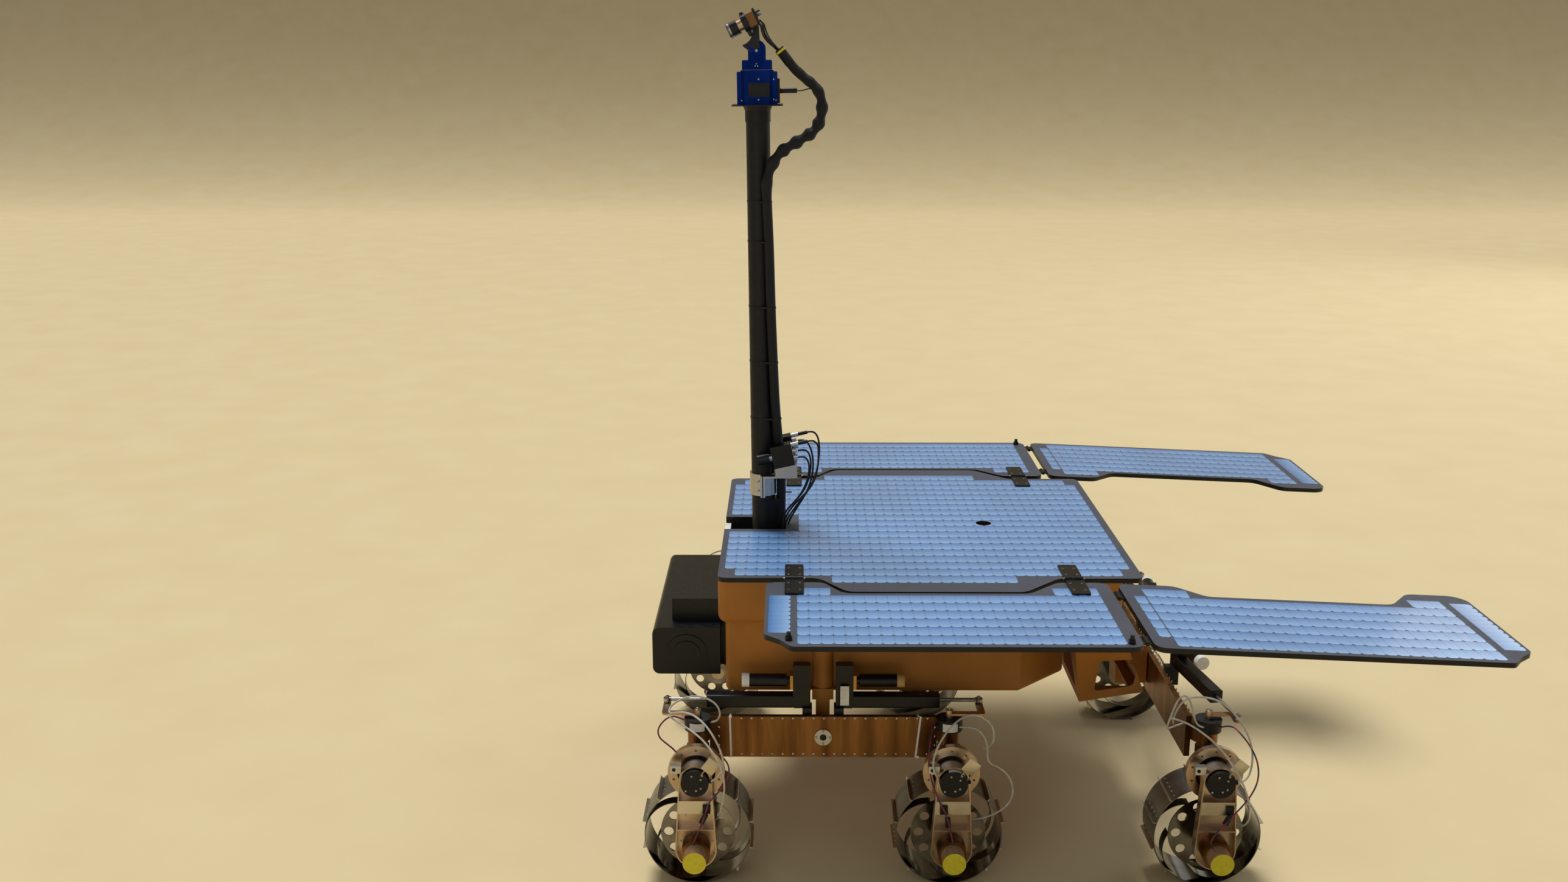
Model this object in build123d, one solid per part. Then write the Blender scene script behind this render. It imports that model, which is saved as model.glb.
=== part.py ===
from build123d import *
import os
from math import asin, atan2, cos, degrees, hypot, pi, radians, sin, tan

# Six-wheeled planetary rover test vehicle: flat solar deck, folding side panels and wings, camera mast.
# Millimetres. +X is the driving direction, +Y the rover's left side, +Z up.
# The origin lies on the floor under the middle of the vehicle.

os.makedirs("parts", exist_ok=True)

# Wheels and their stations
WHEEL_R = 142.5
WHEEL_W = 120.0
FRONT_X = 840.0
MIDDLE_X = 212.0
REAR_X = -434.0
TRACK_HALF = 490.0

RIM_OUTER_R = 133.5
RIM_WALL = 2.0
GROUSER_COUNT = 12
GROUSER_T = 2.0
GROUSER_SINK = 1.0
HUB_DISC_R = 94.0
HUB_DISC_T = 3.0
HUB_DISC_INSET = 17.0
HUB_BARREL_R = 36.0
HUB_BARREL_LEN = 62.0
HUB_HOLE_COUNT = 10
HUB_HOLE_R = 12.0
HUB_HOLE_PCR = 74.0
SPRING_COUNT = 6
SPRING_T = 2.0
SPRING_W = 30.0
SPRING_SWEEP = 62.0

# Solar deck
PANEL_T = 12.0
DECK_TOP = 784.0
DECK_FRONT = 789.0
DECK_REAR = -261.0
DECK_HALF_W = 454.0
DECK_BULGE_HALF_W = 552.0
BULGE_FRONT_FOOT = 539.0
BULGE_FRONT_TOP = 472.0
BULGE_REAR_TOP = 44.0
BULGE_REAR_FOOT = -51.0
DECK_CORNER_R = 22.0
SLOT_HALF_W = 56.0
DECK_HOLE_X = 78.0
DECK_HOLE_R = 20.5

# Puts the origin under the middle of the whole vehicle
VEHICLE_SHIFT = 29.0

# Side panels
PANEL_GAP = 10.0
SIDE_INNER = 485.0
SIDE_OUTER = 900.0
SIDE_FRONT = 668.0
SIDE_REAR = -163.0
SIDE_CUT_Y = 826.0
SIDE_STEP_X = 631.0
SIDE_STEP_Y = 860.0
SIDE_CUT_X = 606.0
SIDE_CORNER_R = 26.0

# Rear wings
WING_FRONT = -186.0
WING_REAR = -1036.0
WING_INNER = 490.0
WING_STEP_X = -324.0
WING_WAIST_X = -389.0
WING_WAIST_Y = 556.0
WING_HOOK_X = -834.0
WING_TIP_X = -897.0
WING_TIP_Y = 474.0
WING_CORNER_R = 45.0
WING_CUT_Y = 830.0
WING_LIP_X = -998.0
WING_LIP_Y = 864.0
WING_CUT_X = -970.0

# Panel hinges
HINGE_X = (599.5, -85.0)
HINGE_Y = 469.5
HINGE_LEAF_L = 46.0
HINGE_LEAF_W = 100.0
HINGE_LEAF_T = 5.0
HINGE_CORNER_R = 5.0
HINGE_BOLT_R = 3.4
HINGE_BOLT_GRID = (28.0, 47.0)
HINGE_BOLT_DEPTH = 2.0
HINGE_BARREL_R = 5.0
HINGE_PIN_R = 2.5
HINGE_PIN_OUT = 4.0
WING_HINGE_Y = (560.0, 845.0)
WING_BARREL_R = 4.5
WING_BARREL_L = 46.0
WING_LEAF_T = 3.0
HINGE_KNUCKLES = 3
HINGE_PLAY = 0.1
KNUCKLE_PLAY = 0.3
KNOB_R = 8.0
KNOB_H = 18.0
KNOB_GRIP_SHARE = 0.62
KNOB_SPOTS = ((612.0, 860.0), (-138.0, 877.0))

# Body
SHOULDER_BOTTOM = 660.0
SHOULDER_HALF_W = 450.0
SHOULDER_REAR = -215.0
SHOULDER_EDGE_R = 22.0
TUB_BOTTOM = 450.0
TUB_FRONT = 774.0
TUB_HALF_W = 380.0
TUB_TAPER_X = 22.0
TUB_REAR = -110.0
TUB_REAR_HALF_W = 250.0
TUB_EDGE_R = 14.0
MAST_WELL_FLOOR = 716.0

# Drill box on the front
DRILL_FRONT = 963.0
DRILL_NEAR = 350.0
DRILL_FAR = -235.0
DRILL_TOP = 612.0
DRILL_BOTTOM = 486.0
DRILL_EDGE_R = 18.0
DRILL_BOSS_RADII = (62.0, 48.0)
DRILL_BOSS_STEP = 3.0
STEP_FRONT = 915.0
STEP_NEAR = 295.0
STEP_FAR = 195.0
STEP_H = 59.0

# Mast, leaned a little forward about its foot
MAST_X = 682.5
MAST_LEAN = 0.6
MAST_R = 31.0
MAST_WALL = 3.0
MAST_TOP = 1894.0
MAST_FOOT_R = MAST_R + 9.0
MAST_FOOT_T = 10.0
MAST_HEAD_R = MAST_R + 2.0
MAST_HEAD_BOTTOM = 1866.0
COLLAR_TOP_R = MAST_HEAD_R + 5.5
COLLAR_H = 13.0
CLAMP_BOTTOM = 871.0
CLAMP_TOP = 931.0
CLAMP_WALL = 5.0
CLAMP_R = MAST_R + CLAMP_WALL
CLAMP_GAP = 2.5
LUG_T = 5.0
LUG_REACH = 16.0
CAMERA_LENS = ((12.0, 0.0, 8.0), (14.5, 8.0, 40.0))
LENS_CLEAR = 1.0
CAMERA_AT = (628.0, MAST_R + CAMERA_LENS[1][0] + LENS_CLEAR, 989.0)
ARM_REAR = 589.0
ARM_OUTER = CAMERA_AT[1] + 8.5
ARM_INNER = ARM_OUTER - 26.0
ARM_T = 5.0
WEDGE_FRONT = 648.0
WEDGE_T = 3.0
CAMERA_PITCH = 12.0
CAMERA_BODY = (56.5, 36.0, 60.0)
PLUG_UP = 24.0
PLUG_SIDE = 5.0
PLUG_STEPS = ((6.0, 0.0, 20.0), (5.0, 20.0, 46.0))
SOCKET_SPOTS = ((9.0, 8.0), (9.0, -10.0))
SOCKET_R = 6.0
SOCKET_L = 12.0

# Pan and tilt head
HEAD_PLATE_HALF = 65.0
HEAD_PLATE_T = 3.0
PAN_CORE_L = 84.0
PAN_CORE_W = 77.0
PAN_CORE_CHAMFER = 10.0
PAN_BASE_H = 85.5
PAN_FLANGE_L = 103.0
PAN_FLANGE_W = 62.0
PAN_FLANGE_H = 82.0
PAN_BOX = (6.0, 40.0, 61.0)
PAN_PLUG_R = 6.5
PAN_PLUG_L = 44.0
YOKE_LOW_L = 76.5
YOKE_LOW_H = 24.5
YOKE_W = 48.0
YOKE_HIGH_L = 45.0
YOKE_HIGH_HALF = 20.0
YOKE_ROUND_UP = 52.0
PAN_GAP = 0.5
TILT_UP = 48.0
TILT_SHAFT_R = 5.0
TILT_HUB_R = 13.0
CHEEK_INNER = 25.5
CHEEK_OUTER = 30.0

# Camera pair on the head: u forward along the lens axis, w up from it
HEAD_PITCH = 25.0
HEAD_AXIS_OVER_TILT = (11.4, 75.2)
HEAD_HALF = 48.0
HEAD_BOX = (20.0, 34.0, 34.0)
HEAD_BACK = (6.0, 40.0, 40.0)
HEAD_SOCKET_R = 6.0
HEAD_SOCKET_L = 12.0
HEAD_RINGS = (
    (22.0, 11.0, 25.0),
    (13.5, 25.0, 38.0),
    (17.0, 38.0, 58.0),
    (18.2, 58.0, 66.0),
)
HEAD_KNOB_R = 5.0
HEAD_KNOB_REACH = 34.0
HEAD_BAR_T = 4.0
HEAD_BAR_HALF = 66.0
HEAD_BAR_U = (-14.0, 9.0)

# Bogies
BEAM_T = 14.0
BEAM_TOP = 420.0
BEAM_BOTTOM = 310.0
BEAM_OUTER_Y = 466.0
BEAM_END_GAP = 28.0
PIVOT_Z = 365.0
PIVOT_FLANGE_R = 21.6
PIVOT_FLANGE_T = 4.0
PIVOT_R = 8.5
PIVOT_PLAY = 0.1
PIVOT_END_PLAY = 2.0
REAR_BEAM_X = -395.0
REAR_BEAM_HALF = 455.0

# Steering drive on each bogie
TUBE_HALF = 17.0
TUBE_EDGE_R = 5.0
TUBE_END = 294.0
GEARBOX_NEAR = 32.0
GEARBOX_FAR = 76.0
GEARBOX_HALF_Y = 14.0
GEARBOX_TOP = 547.0
GEARBOX_BOTTOM = 432.0
GEARBOX_EDGE_R = 4.0
FOOT_NEAR = 28.0
FOOT_FAR = 52.0
FOOT_BOTTOM = 384.0
ACTUATOR_Z = 450.0
MOTOR_Z = 503.0
MOTOR_R = 16.5
MOTOR_NECK_R = 10.0
MOTOR_NECK_L = 8.0
MOTOR_CAP_R = 17.5
MOTOR_CAP_L = 19.0
MOTOR_END = 205.0
MOTOR_PLATE_T = 7.5
MOTOR_PLATE_HALF = 18.5
ROD_R = 5.0
ROD_INSIDE = 60.0
ROD_TRAVEL = 50.0
EYE_PIN_OUT = 5.0
EYE_R = 10.0
EYE_T = 9.0
EYE_PIN_R = 4.0
LEVER_ALONG = 80.0
LEVER_ACROSS = 62.0
REAR_LEVER = (-60.0, 38.0)

# Wheel module: steering, walking and driving units
WALK_Z = 320.0
ENCODER_R = 33.0
ENCODER_TOP = 430.0
ENCODER_BOTTOM = 400.0
BARREL_R = 25.0
BARREL_BOTTOM = 356.0
STEER_SHAFT_R = 9.0
STEER_PLAY = 0.1
STEER_END_PLAY = 0.5
LEVER_Z = 438.0
LEVER_T = 5.0
SHAFT_NUT_H = 8.0
LEVER_W = 18.0
YOKE_PLATE_BOTTOM = 338.0
YOKE_PLATE_HALF = 28.0
RING_BACK = 66.0
RING_WEB_T = 4.0
RING_T = 18.0
RING_R = 70.0
RING_BORE_R = 47.0
RING_HOLE_COUNT = 10
RING_HOLE_R = 3.0
WALK_SHAFT_R = 14.0
WALK_SHAFT_END = 118.0
WALK_PLAY = 0.1
WALK_END_PLAY = 0.5
WALK_DRUM_R = 40.0
WALK_DRUM_END = 124.0
WALK_ENCODER_R = 34.0
WALK_ENCODER_END = 146.0

LEG_BACK = 106.0
LEG_BACK_T = 4.0
LEG_FRONT = 134.0
LEG_WALL = 3.0
LEG_TOP_HALF = 40.0
LEG_BOTTOM_HALF = 51.0
LEG_SHELVES = (269.0, 238.0, 192.0)
CLAMP_LUG = (26.0, 18.0, 20.0)
DRIVE_R = 35.0
DRIVE_END = 158.0
DRIVE_NECK_R = 28.5
CAP_END = 200.0
DRIVE_SHAFT_R = 20.0
DRIVE_SHAFT_INNER = 20.0
HUB_PLAY = 0.1

# Centre posts that carry the side bogies
POST_R = 27.0
POST_TOP_R = 24.0
POST_BOTTOM = 452.0
POST_SADDLE = (18.0, 28.0)
POST_BLOCK_HALF = 17.5
POST_ARM_HALF = 14.0
POST_ARM_Z = (345.0, 395.0)
POST_ARM_FROM = 409.0

# Bracket that carries the rear bogie
TRAY_TOP = 570.0
TRAY_BOTTOM = 400.0
TRAY_WALL = 4.0
TRAY_SECTIONS = ((TRAY_BOTTOM, -143.0, -325.0, 327.0, 262.0), (TRAY_TOP, -112.0, -250.0, 402.0, 395.0))
TRAY_WELL_X = (-290.0, -180.0)
TRAY_WELL_HALF = 230.0
TRAY_CUT_Y = (120.0, 300.0)
TRAY_CUT_Z = (430.0, 520.0)
LEDGE_FRONT = 228.0
LEDGE_OUT = 22.0
REAR_BLOCK_HALF = 40.0
REAR_BLOCK_X = -300.0
REAR_BLOCK_BOTTOM = 330.0
REAR_BLOCK_TOP = 440.0

# Braided cable sleeve: free loop behind the head, then strapped down the mast
SLEEVE_R = 12.5
# The deck's slot and the mast well end behind the strapped sleeve
SLOT_CLEAR = 4.5
SLOT_REAR = MAST_X - MAST_R - 2 * SLEEVE_R - SLOT_CLEAR
SLEEVE_LOOP = (
    (603.0, 1.0, 2001.0),
    (576.0, 2.0, 1977.0),
    (551.0, 4.0, 1960.0),
    (530.0, 7.0, 1920.0),
    (533.0, 13.0, 1870.0),
    (560.0, 20.0, 1835.0),
    (603.0, 28.0, 1812.0),
    (640.0, 34.0, 1786.0),
    (662.0, 38.0, 1750.0),
)
SLEEVE_RUN_IN = 42.0
# Down the mast: height, turn about the mast from straight behind it, standoff from its surface
SLEEVE_RUN = (
    (1664.0, 61.0, 0.8),
    (1551.0, 55.0, 1.0),
    (1388.0, 51.0, 0.8),
    (1224.0, 43.0, 1.0),
    (1140.0, 37.0, 1.0),
    (1085.0, 30.0, 1.0),
    (1030.0, 18.0, 1.5),
    (975.0, 8.0, 2.5),
    (935.0, 2.0, 5.9),
    (867.0, -3.0, 5.9),
    (820.0, -6.0, 2.5),
    (768.0, -7.0, 1.5),
)

# Lead that hangs from the near mast camera's plug into the mast well
LEAD_R = 2.5
LEAD_RUN_OUT = 10.5
LEAD_ROUTE = (
    (543.0, 51.0, 1028.0),
    (536.5, 50.0, 1019.5),
    (534.5, 49.0, 1007.5),
    (534.0, 48.0, 988.0),
    (535.5, 47.0, 958.0),
    (542.0, 45.0, 925.0),
    (556.0, 42.0, 896.0),
    (576.0, 37.5, 872.0),
    (599.0, 34.0, 848.0),
    (618.0, 31.0, 821.0),
    (630.0, 28.0, 789.0),
    (633.0, 26.5, 758.0),
    (634.5, 25.5, 738.0),
)
ARC_SHARE = 0.45

HALF_PITCH = radians(180 / GROUSER_COUNT)
HUB_Z = WHEEL_R * cos(HALF_PITCH) + GROUSER_T / 2 * sin(HALF_PITCH)
PIVOT_X = (FRONT_X + MIDDLE_X) / 2
HALF_BASE = (FRONT_X - MIDDLE_X) / 2
DECK_BOTTOM = DECK_TOP - PANEL_T
PANEL_MID = DECK_TOP - PANEL_T / 2
BEAM_INNER_Y = BEAM_OUTER_Y - BEAM_T
HEAD_PLATE_BOTTOM = MAST_TOP + COLLAR_H
HEAD_PLATE_TOP = HEAD_PLATE_BOTTOM + HEAD_PLATE_T
PAN_BASE_TOP = HEAD_PLATE_TOP + PAN_BASE_H
YOKE_BOTTOM = PAN_BASE_TOP + PAN_GAP
TILT_Z = PAN_BASE_TOP + TILT_UP
HEAD_X = MAST_X + HEAD_AXIS_OVER_TILT[0]
HEAD_Z = TILT_Z + HEAD_AXIS_OVER_TILT[1]


def save(name, *solids):
    """Write one node, moved with the whole vehicle. Several solids that don't touch share its file."""
    placed = [Pos(VEHICLE_SHIFT, 0, 0) * solid for solid in solids]
    shape = placed[0] if len(placed) == 1 else Compound(children=placed)
    export_step(shape, "parts/" + name + ".step")


def box(x, y, z):
    """A block between two limits on each axis."""
    size = (x[1] - x[0], y[1] - y[0], z[1] - z[0])
    middle = ((x[0] + x[1]) / 2, (y[0] + y[1]) / 2, (z[0] + z[1]) / 2)
    return Pos(*middle) * Box(*size)


def rod_x(radius, x, y, z):
    """A cylinder along X between two places."""
    return Pos((x[0] + x[1]) / 2, y, z) * Rot(0, 90, 0) * Cylinder(radius, x[1] - x[0])


def rod_y(radius, x, y, z):
    """A cylinder along Y between two places."""
    return Pos(x, (y[0] + y[1]) / 2, z) * Rot(90, 0, 0) * Cylinder(radius, y[1] - y[0])


def rod_z(radius, x, y, z):
    """A cylinder along Z between two places."""
    return Pos(x, y, (z[0] + z[1]) / 2) * Cylinder(radius, z[1] - z[0])


def plate(points, radii, z):
    """A flat panel from its outline, with each corner rounded by its own radius."""
    outline = Polyline(*points, close=True)
    face = make_face(outline)
    for point, radius in zip(points, radii):
        if radius:
            corner = face.vertices().sort_by_distance(Vector(point[0], point[1], 0))[0]
            face = fillet(corner, radius)
    return Pos(0, 0, z[0]) * extrude(face, z[1] - z[0])


def left_and_right(shape):
    """The piece on the left side and its mirror image on the right."""
    return shape, mirror(shape, about=Plane.XZ)


# Solar deck and folding panels


def deck_panel():
    """Main solar panel with bulged sides, mast slot and one round hole."""
    side = [
        (DECK_FRONT, DECK_HALF_W, DECK_CORNER_R),
        (BULGE_FRONT_FOOT, DECK_HALF_W, 40.0),
        (BULGE_FRONT_TOP, DECK_BULGE_HALF_W, 40.0),
        (BULGE_REAR_TOP, DECK_BULGE_HALF_W, 40.0),
        (BULGE_REAR_FOOT, DECK_HALF_W, 40.0),
        (DECK_REAR, DECK_HALF_W, DECK_CORNER_R),
    ]
    other = [(x, -y, r) for x, y, r in reversed(side)]
    outline = side + other
    panel = plate([(x, y) for x, y, r in outline], [r for x, y, r in outline], (DECK_BOTTOM, DECK_TOP))
    panel -= box((SLOT_REAR, DECK_FRONT + 1), (-SLOT_HALF_W, SLOT_HALF_W), (DECK_BOTTOM - 1, DECK_TOP + 1))
    panel -= rod_z(DECK_HOLE_R, DECK_HOLE_X, 0, (DECK_BOTTOM - 1, DECK_TOP + 1))
    return panel


def side_panel():
    """Left side panel, recessed along the deck's bulge and cut at its front corner."""
    bulge = DECK_BULGE_HALF_W + PANEL_GAP
    inset = (SIDE_INNER - DECK_HALF_W) * (BULGE_FRONT_FOOT - BULGE_FRONT_TOP) / (bulge - DECK_HALF_W)
    outline = [
        (SIDE_FRONT, SIDE_INNER, SIDE_CORNER_R),
        (BULGE_FRONT_FOOT - inset + PANEL_GAP, SIDE_INNER, 30.0),
        (BULGE_FRONT_TOP + PANEL_GAP, bulge, 40.0),
        (BULGE_REAR_TOP - PANEL_GAP, bulge, 40.0),
        (BULGE_REAR_FOOT + inset - PANEL_GAP, SIDE_INNER, 30.0),
        (SIDE_REAR, SIDE_INNER, SIDE_CORNER_R),
        (SIDE_REAR, SIDE_OUTER, SIDE_CORNER_R),
        (SIDE_CUT_X, SIDE_OUTER, 18.0),
        (SIDE_STEP_X, SIDE_STEP_Y, 30.0),
        (SIDE_FRONT, SIDE_CUT_Y, 22.0),
    ]
    return plate([(x, y) for x, y, r in outline], [r for x, y, r in outline], (DECK_BOTTOM, DECK_TOP))


def wing_panel():
    """Left rear wing, waisted on its inner edge and cut at its tip's outer corner."""
    outline = [
        (WING_FRONT, WING_INNER, SIDE_CORNER_R),
        (WING_STEP_X, WING_INNER, 40.0),
        (WING_WAIST_X, WING_WAIST_Y, 40.0),
        (WING_HOOK_X, WING_WAIST_Y, 40.0),
        (WING_TIP_X, WING_TIP_Y, 40.0),
        (WING_REAR, WING_TIP_Y, WING_CORNER_R),
        (WING_REAR, WING_CUT_Y, 22.0),
        (WING_LIP_X, WING_LIP_Y, 30.0),
        (WING_CUT_X, SIDE_OUTER, 18.0),
        (WING_FRONT, SIDE_OUTER, SIDE_CORNER_R),
    ]
    return plate([(x, y) for x, y, r in outline], [r for x, y, r in outline], (DECK_BOTTOM, DECK_TOP))


def knuckle_spans(centre, length, parity):
    """The stretches of a hinge barrel that belong to one leaf, with play between knuckles."""
    step = length / HINGE_KNUCKLES
    start = centre - length / 2
    return [
        (start + n * step + KNUCKLE_PLAY, start + (n + 1) * step - KNUCKLE_PLAY)
        for n in range(HINGE_KNUCKLES)
        if n % 2 == parity
    ]


def deck_hinge_leaf(x, outward):
    """One long leaf of a butt hinge on the panels' top face, with bolt seats and its share of the barrel."""
    axis_z = DECK_TOP + HINGE_BARREL_R
    edge = HINGE_Y + outward * (HINGE_BARREL_R + KNUCKLE_PLAY)
    far = HINGE_Y + outward * (HINGE_BARREL_R + HINGE_LEAF_W)
    leaf_x = (x - HINGE_LEAF_L / 2, x + HINGE_LEAF_L / 2)
    leaf_top = DECK_TOP + HINGE_LEAF_T
    leaf = box(leaf_x, sorted((edge, far)), (DECK_TOP, leaf_top))
    uprights = leaf.edges().filter_by(Axis.Z).sort_by(Axis.Y)
    leaf = fillet(uprights[2:] if outward > 0 else uprights[:2], HINGE_CORNER_R)
    middle = (edge + far) / 2
    for bolt_x in (x - HINGE_BOLT_GRID[0] / 2, x + HINGE_BOLT_GRID[0] / 2):
        for bolt_y in (middle - HINGE_BOLT_GRID[1] / 2, middle + HINGE_BOLT_GRID[1] / 2):
            leaf -= rod_z(HINGE_BOLT_R, bolt_x, bolt_y, (leaf_top - HINGE_BOLT_DEPTH, leaf_top + 1))
    parity = 0 if outward < 0 else 1
    for span in knuckle_spans(x, HINGE_LEAF_L, parity):
        leaf += box(span, sorted((HINGE_Y, edge)), (DECK_TOP, leaf_top))
        leaf += rod_x(HINGE_BARREL_R, span, HINGE_Y, axis_z)
    pin = (leaf_x[0] - HINGE_PIN_OUT, leaf_x[1] + HINGE_PIN_OUT)
    if outward < 0:
        return leaf + rod_x(HINGE_PIN_R, pin, HINGE_Y, axis_z)
    return leaf - rod_x(HINGE_PIN_R + HINGE_PLAY, pin, HINGE_Y, axis_z)


def wing_hinge_leaf(y, toward_wing):
    """One leaf of the small hinge in the gap between side panel and wing."""
    axis_x = (SIDE_REAR + WING_FRONT) / 2
    edge = WING_FRONT if toward_wing else SIDE_REAR
    sign = -1 if toward_wing else 1
    near = axis_x + sign * (WING_BARREL_R + KNUCKLE_PLAY)
    leaf_y = (y - WING_BARREL_L / 2, y + WING_BARREL_L / 2)
    half_t = WING_LEAF_T / 2
    leaf = box(sorted((near, edge)), leaf_y, (PANEL_MID - half_t, PANEL_MID + half_t))
    parity = 1 if toward_wing else 0
    for span in knuckle_spans(y, WING_BARREL_L, parity):
        leaf += box(sorted((axis_x, near)), span, (PANEL_MID - half_t, PANEL_MID + half_t))
        leaf += rod_y(WING_BARREL_R, axis_x, span, PANEL_MID)
    pin = (leaf_y[0] - HINGE_PIN_OUT, leaf_y[1] + HINGE_PIN_OUT)
    if toward_wing:
        return leaf - rod_y(HINGE_PIN_R + HINGE_PLAY, axis_x, pin, PANEL_MID)
    return leaf + rod_y(HINGE_PIN_R, axis_x, pin, PANEL_MID)


def thumb_knob(x, y):
    """Black knurled knob on its collar."""
    knob = rod_z(KNOB_R, x, y, (DECK_TOP, DECK_TOP + KNOB_H / 2))
    knob += rod_z(KNOB_R * KNOB_GRIP_SHARE, x, y, (DECK_TOP + KNOB_H / 2, DECK_TOP + KNOB_H))
    return knob


# Body


def tub_outline(inset):
    """Plan of the lower body: square at the front, tapered towards the rear."""
    half = TUB_HALF_W - inset
    rear_half = TUB_REAR_HALF_W - inset
    side = [(TUB_FRONT - inset, half), (TUB_TAPER_X, half), (TUB_REAR + inset, rear_half)]
    return side + [(x, -y) for x, y in reversed(side)]


def body_shell():
    """Ochre body: wide shoulder under the deck, lower tub with a tapered stern and a mast well."""
    shoulder = box(
        (SHOULDER_REAR, DECK_FRONT),
        (-SHOULDER_HALF_W, SHOULDER_HALF_W),
        (SHOULDER_BOTTOM, DECK_BOTTOM),
    )
    lower = shoulder.edges().group_by(Axis.Z)[0]
    uprights = shoulder.edges().filter_by(Axis.Z)
    shoulder = fillet(lower + uprights, SHOULDER_EDGE_R)
    tub_height = SHOULDER_BOTTOM - TUB_BOTTOM
    tub = extrude(make_face(Polyline(*tub_outline(0), close=True)), tub_height + SHOULDER_EDGE_R)
    tub = Pos(0, 0, TUB_BOTTOM) * tub
    tub = fillet(tub.edges().group_by(Axis.Z)[0] + tub.edges().filter_by(Axis.Z), TUB_EDGE_R)
    body = shoulder + tub
    body -= box((SLOT_REAR, DECK_FRONT + 1), (-SLOT_HALF_W, SLOT_HALF_W), (MAST_WELL_FLOOR, DECK_BOTTOM + 1))
    return body


def drill_box():
    """Black box across the front, with round bosses on its end and a smaller box on top."""
    case = box((DECK_FRONT, DRILL_FRONT), (DRILL_FAR, DRILL_NEAR), (DRILL_BOTTOM, DRILL_TOP))
    long_edges = case.edges().filter_by(Axis.Y).group_by(Axis.X)[-1]
    case = fillet(long_edges, DRILL_EDGE_R)
    case += box((TUB_FRONT, DECK_FRONT), (DRILL_FAR + 40, DRILL_NEAR - 40), (DRILL_BOTTOM + 10, DRILL_TOP - 10))
    middle_x = (DECK_FRONT + DRILL_FRONT) / 2
    middle_z = (DRILL_TOP + DRILL_BOTTOM) / 2 - 8
    for n, radius in enumerate(DRILL_BOSS_RADII):
        if radius > middle_z - DRILL_BOTTOM:
            radius = middle_z - DRILL_BOTTOM - 2
        face_y = DRILL_NEAR + n * DRILL_BOSS_STEP
        case += rod_y(radius - n * 12, middle_x, (face_y, face_y + DRILL_BOSS_STEP), middle_z)
    case += box((DECK_FRONT, STEP_FRONT), (STEP_FAR, STEP_NEAR), (DRILL_TOP, DRILL_TOP + STEP_H))
    return case


# Mast and camera head


def leaned(shape):
    """A piece of the mast, built upright, turned forward by the mast's lean about its foot."""
    foot = Pos(MAST_X, 0, MAST_WELL_FLOOR)
    return foot * Rot(0, MAST_LEAN, 0) * foot.inverse() * shape


def mast():
    """Tube with a bolted foot in the well, a thicker head end and a flared collar at its top."""
    bore = MAST_R - MAST_WALL
    profile = Polyline(
        (bore, MAST_WELL_FLOOR + MAST_FOOT_T / 2),
        (MAST_R, MAST_WELL_FLOOR + MAST_FOOT_T / 2),
        (MAST_R, MAST_HEAD_BOTTOM),
        (MAST_HEAD_R, MAST_HEAD_BOTTOM),
        (MAST_HEAD_R, MAST_TOP),
        (COLLAR_TOP_R, HEAD_PLATE_BOTTOM),
        (bore, HEAD_PLATE_BOTTOM),
        close=True,
    )
    tube = leaned(Pos(MAST_X, 0, 0) * revolve(Plane.XZ * make_face(profile), Axis.Z))
    return tube + rod_z(MAST_FOOT_R, MAST_X, 0, (MAST_WELL_FLOOR, MAST_WELL_FLOOR + MAST_FOOT_T))


def mast_clamp():
    """Split aluminium collar: two half rings with lugs, an arm and a wedge for a camera on each side."""
    z = (CLAMP_BOTTOM, CLAMP_TOP)
    ring = rod_z(CLAMP_R, MAST_X, 0, z)
    lug_half = CLAMP_GAP / 2 + LUG_T
    lug_y = CLAMP_R + LUG_REACH
    ring += box((MAST_X - lug_half, MAST_X + lug_half), (-lug_y, lug_y), z)
    ring -= rod_z(MAST_R, MAST_X, 0, (z[0] - 1, z[1] + 1))
    ring -= box((MAST_X - CLAMP_GAP / 2, MAST_X + CLAMP_GAP / 2), (-lug_y - 1, lug_y + 1), (z[0] - 1, z[1] + 1))
    rear_half, front_half = ring.solids().sort_by(Axis.X)
    slope = tan(radians(CAMERA_PITCH))
    seat_front = CAMERA_AT[2] - CAMERA_BODY[2] / 2 / cos(radians(CAMERA_PITCH)) + slope * (CAMERA_AT[0] - WEDGE_FRONT)
    seat_rear = seat_front + slope * (WEDGE_FRONT - ARM_REAR)
    wedge = Polyline((WEDGE_FRONT, z[1]), (WEDGE_FRONT, seat_front), (ARM_REAR, seat_rear), (ARM_REAR, z[1]), close=True)
    hollow = offset(make_face(wedge), -WEDGE_T)
    for side in (1, -1):
        y = sorted((side * ARM_INNER, side * ARM_OUTER))
        rear_half += box((ARM_REAR, MAST_X - CLAMP_GAP / 2), y, (z[1] - ARM_T, z[1]))
        bent = extrude(Plane.XZ * make_face(wedge), ARM_OUTER - ARM_INNER)
        bent -= Pos(0, -WEDGE_T, 0) * extrude(Plane.XZ * hollow, ARM_OUTER)
        bent = bent if side > 0 else mirror(bent, about=Plane.XZ)
        rear_half += Pos(0, side * ARM_OUTER, 0) * bent
    rear_half -= rod_z(MAST_R, MAST_X, 0, (z[0] - 1, z[1] + 1))
    return leaned(rear_half), leaned(front_half)


def pitched(shape, place, pitch):
    """A camera tipped down by a pitch, at its place."""
    return Pos(*place) * Rot(0, pitch, 0) * shape


def stepped_barrel(steps):
    """Coaxial cylinders along +X: radius, start and end of each step."""
    barrel = rod_x(steps[0][0], steps[0][1:], 0, 0)
    for radius, start, end in steps[1:]:
        barrel += rod_x(radius, (start, end), 0, 0)
    return barrel


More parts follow.
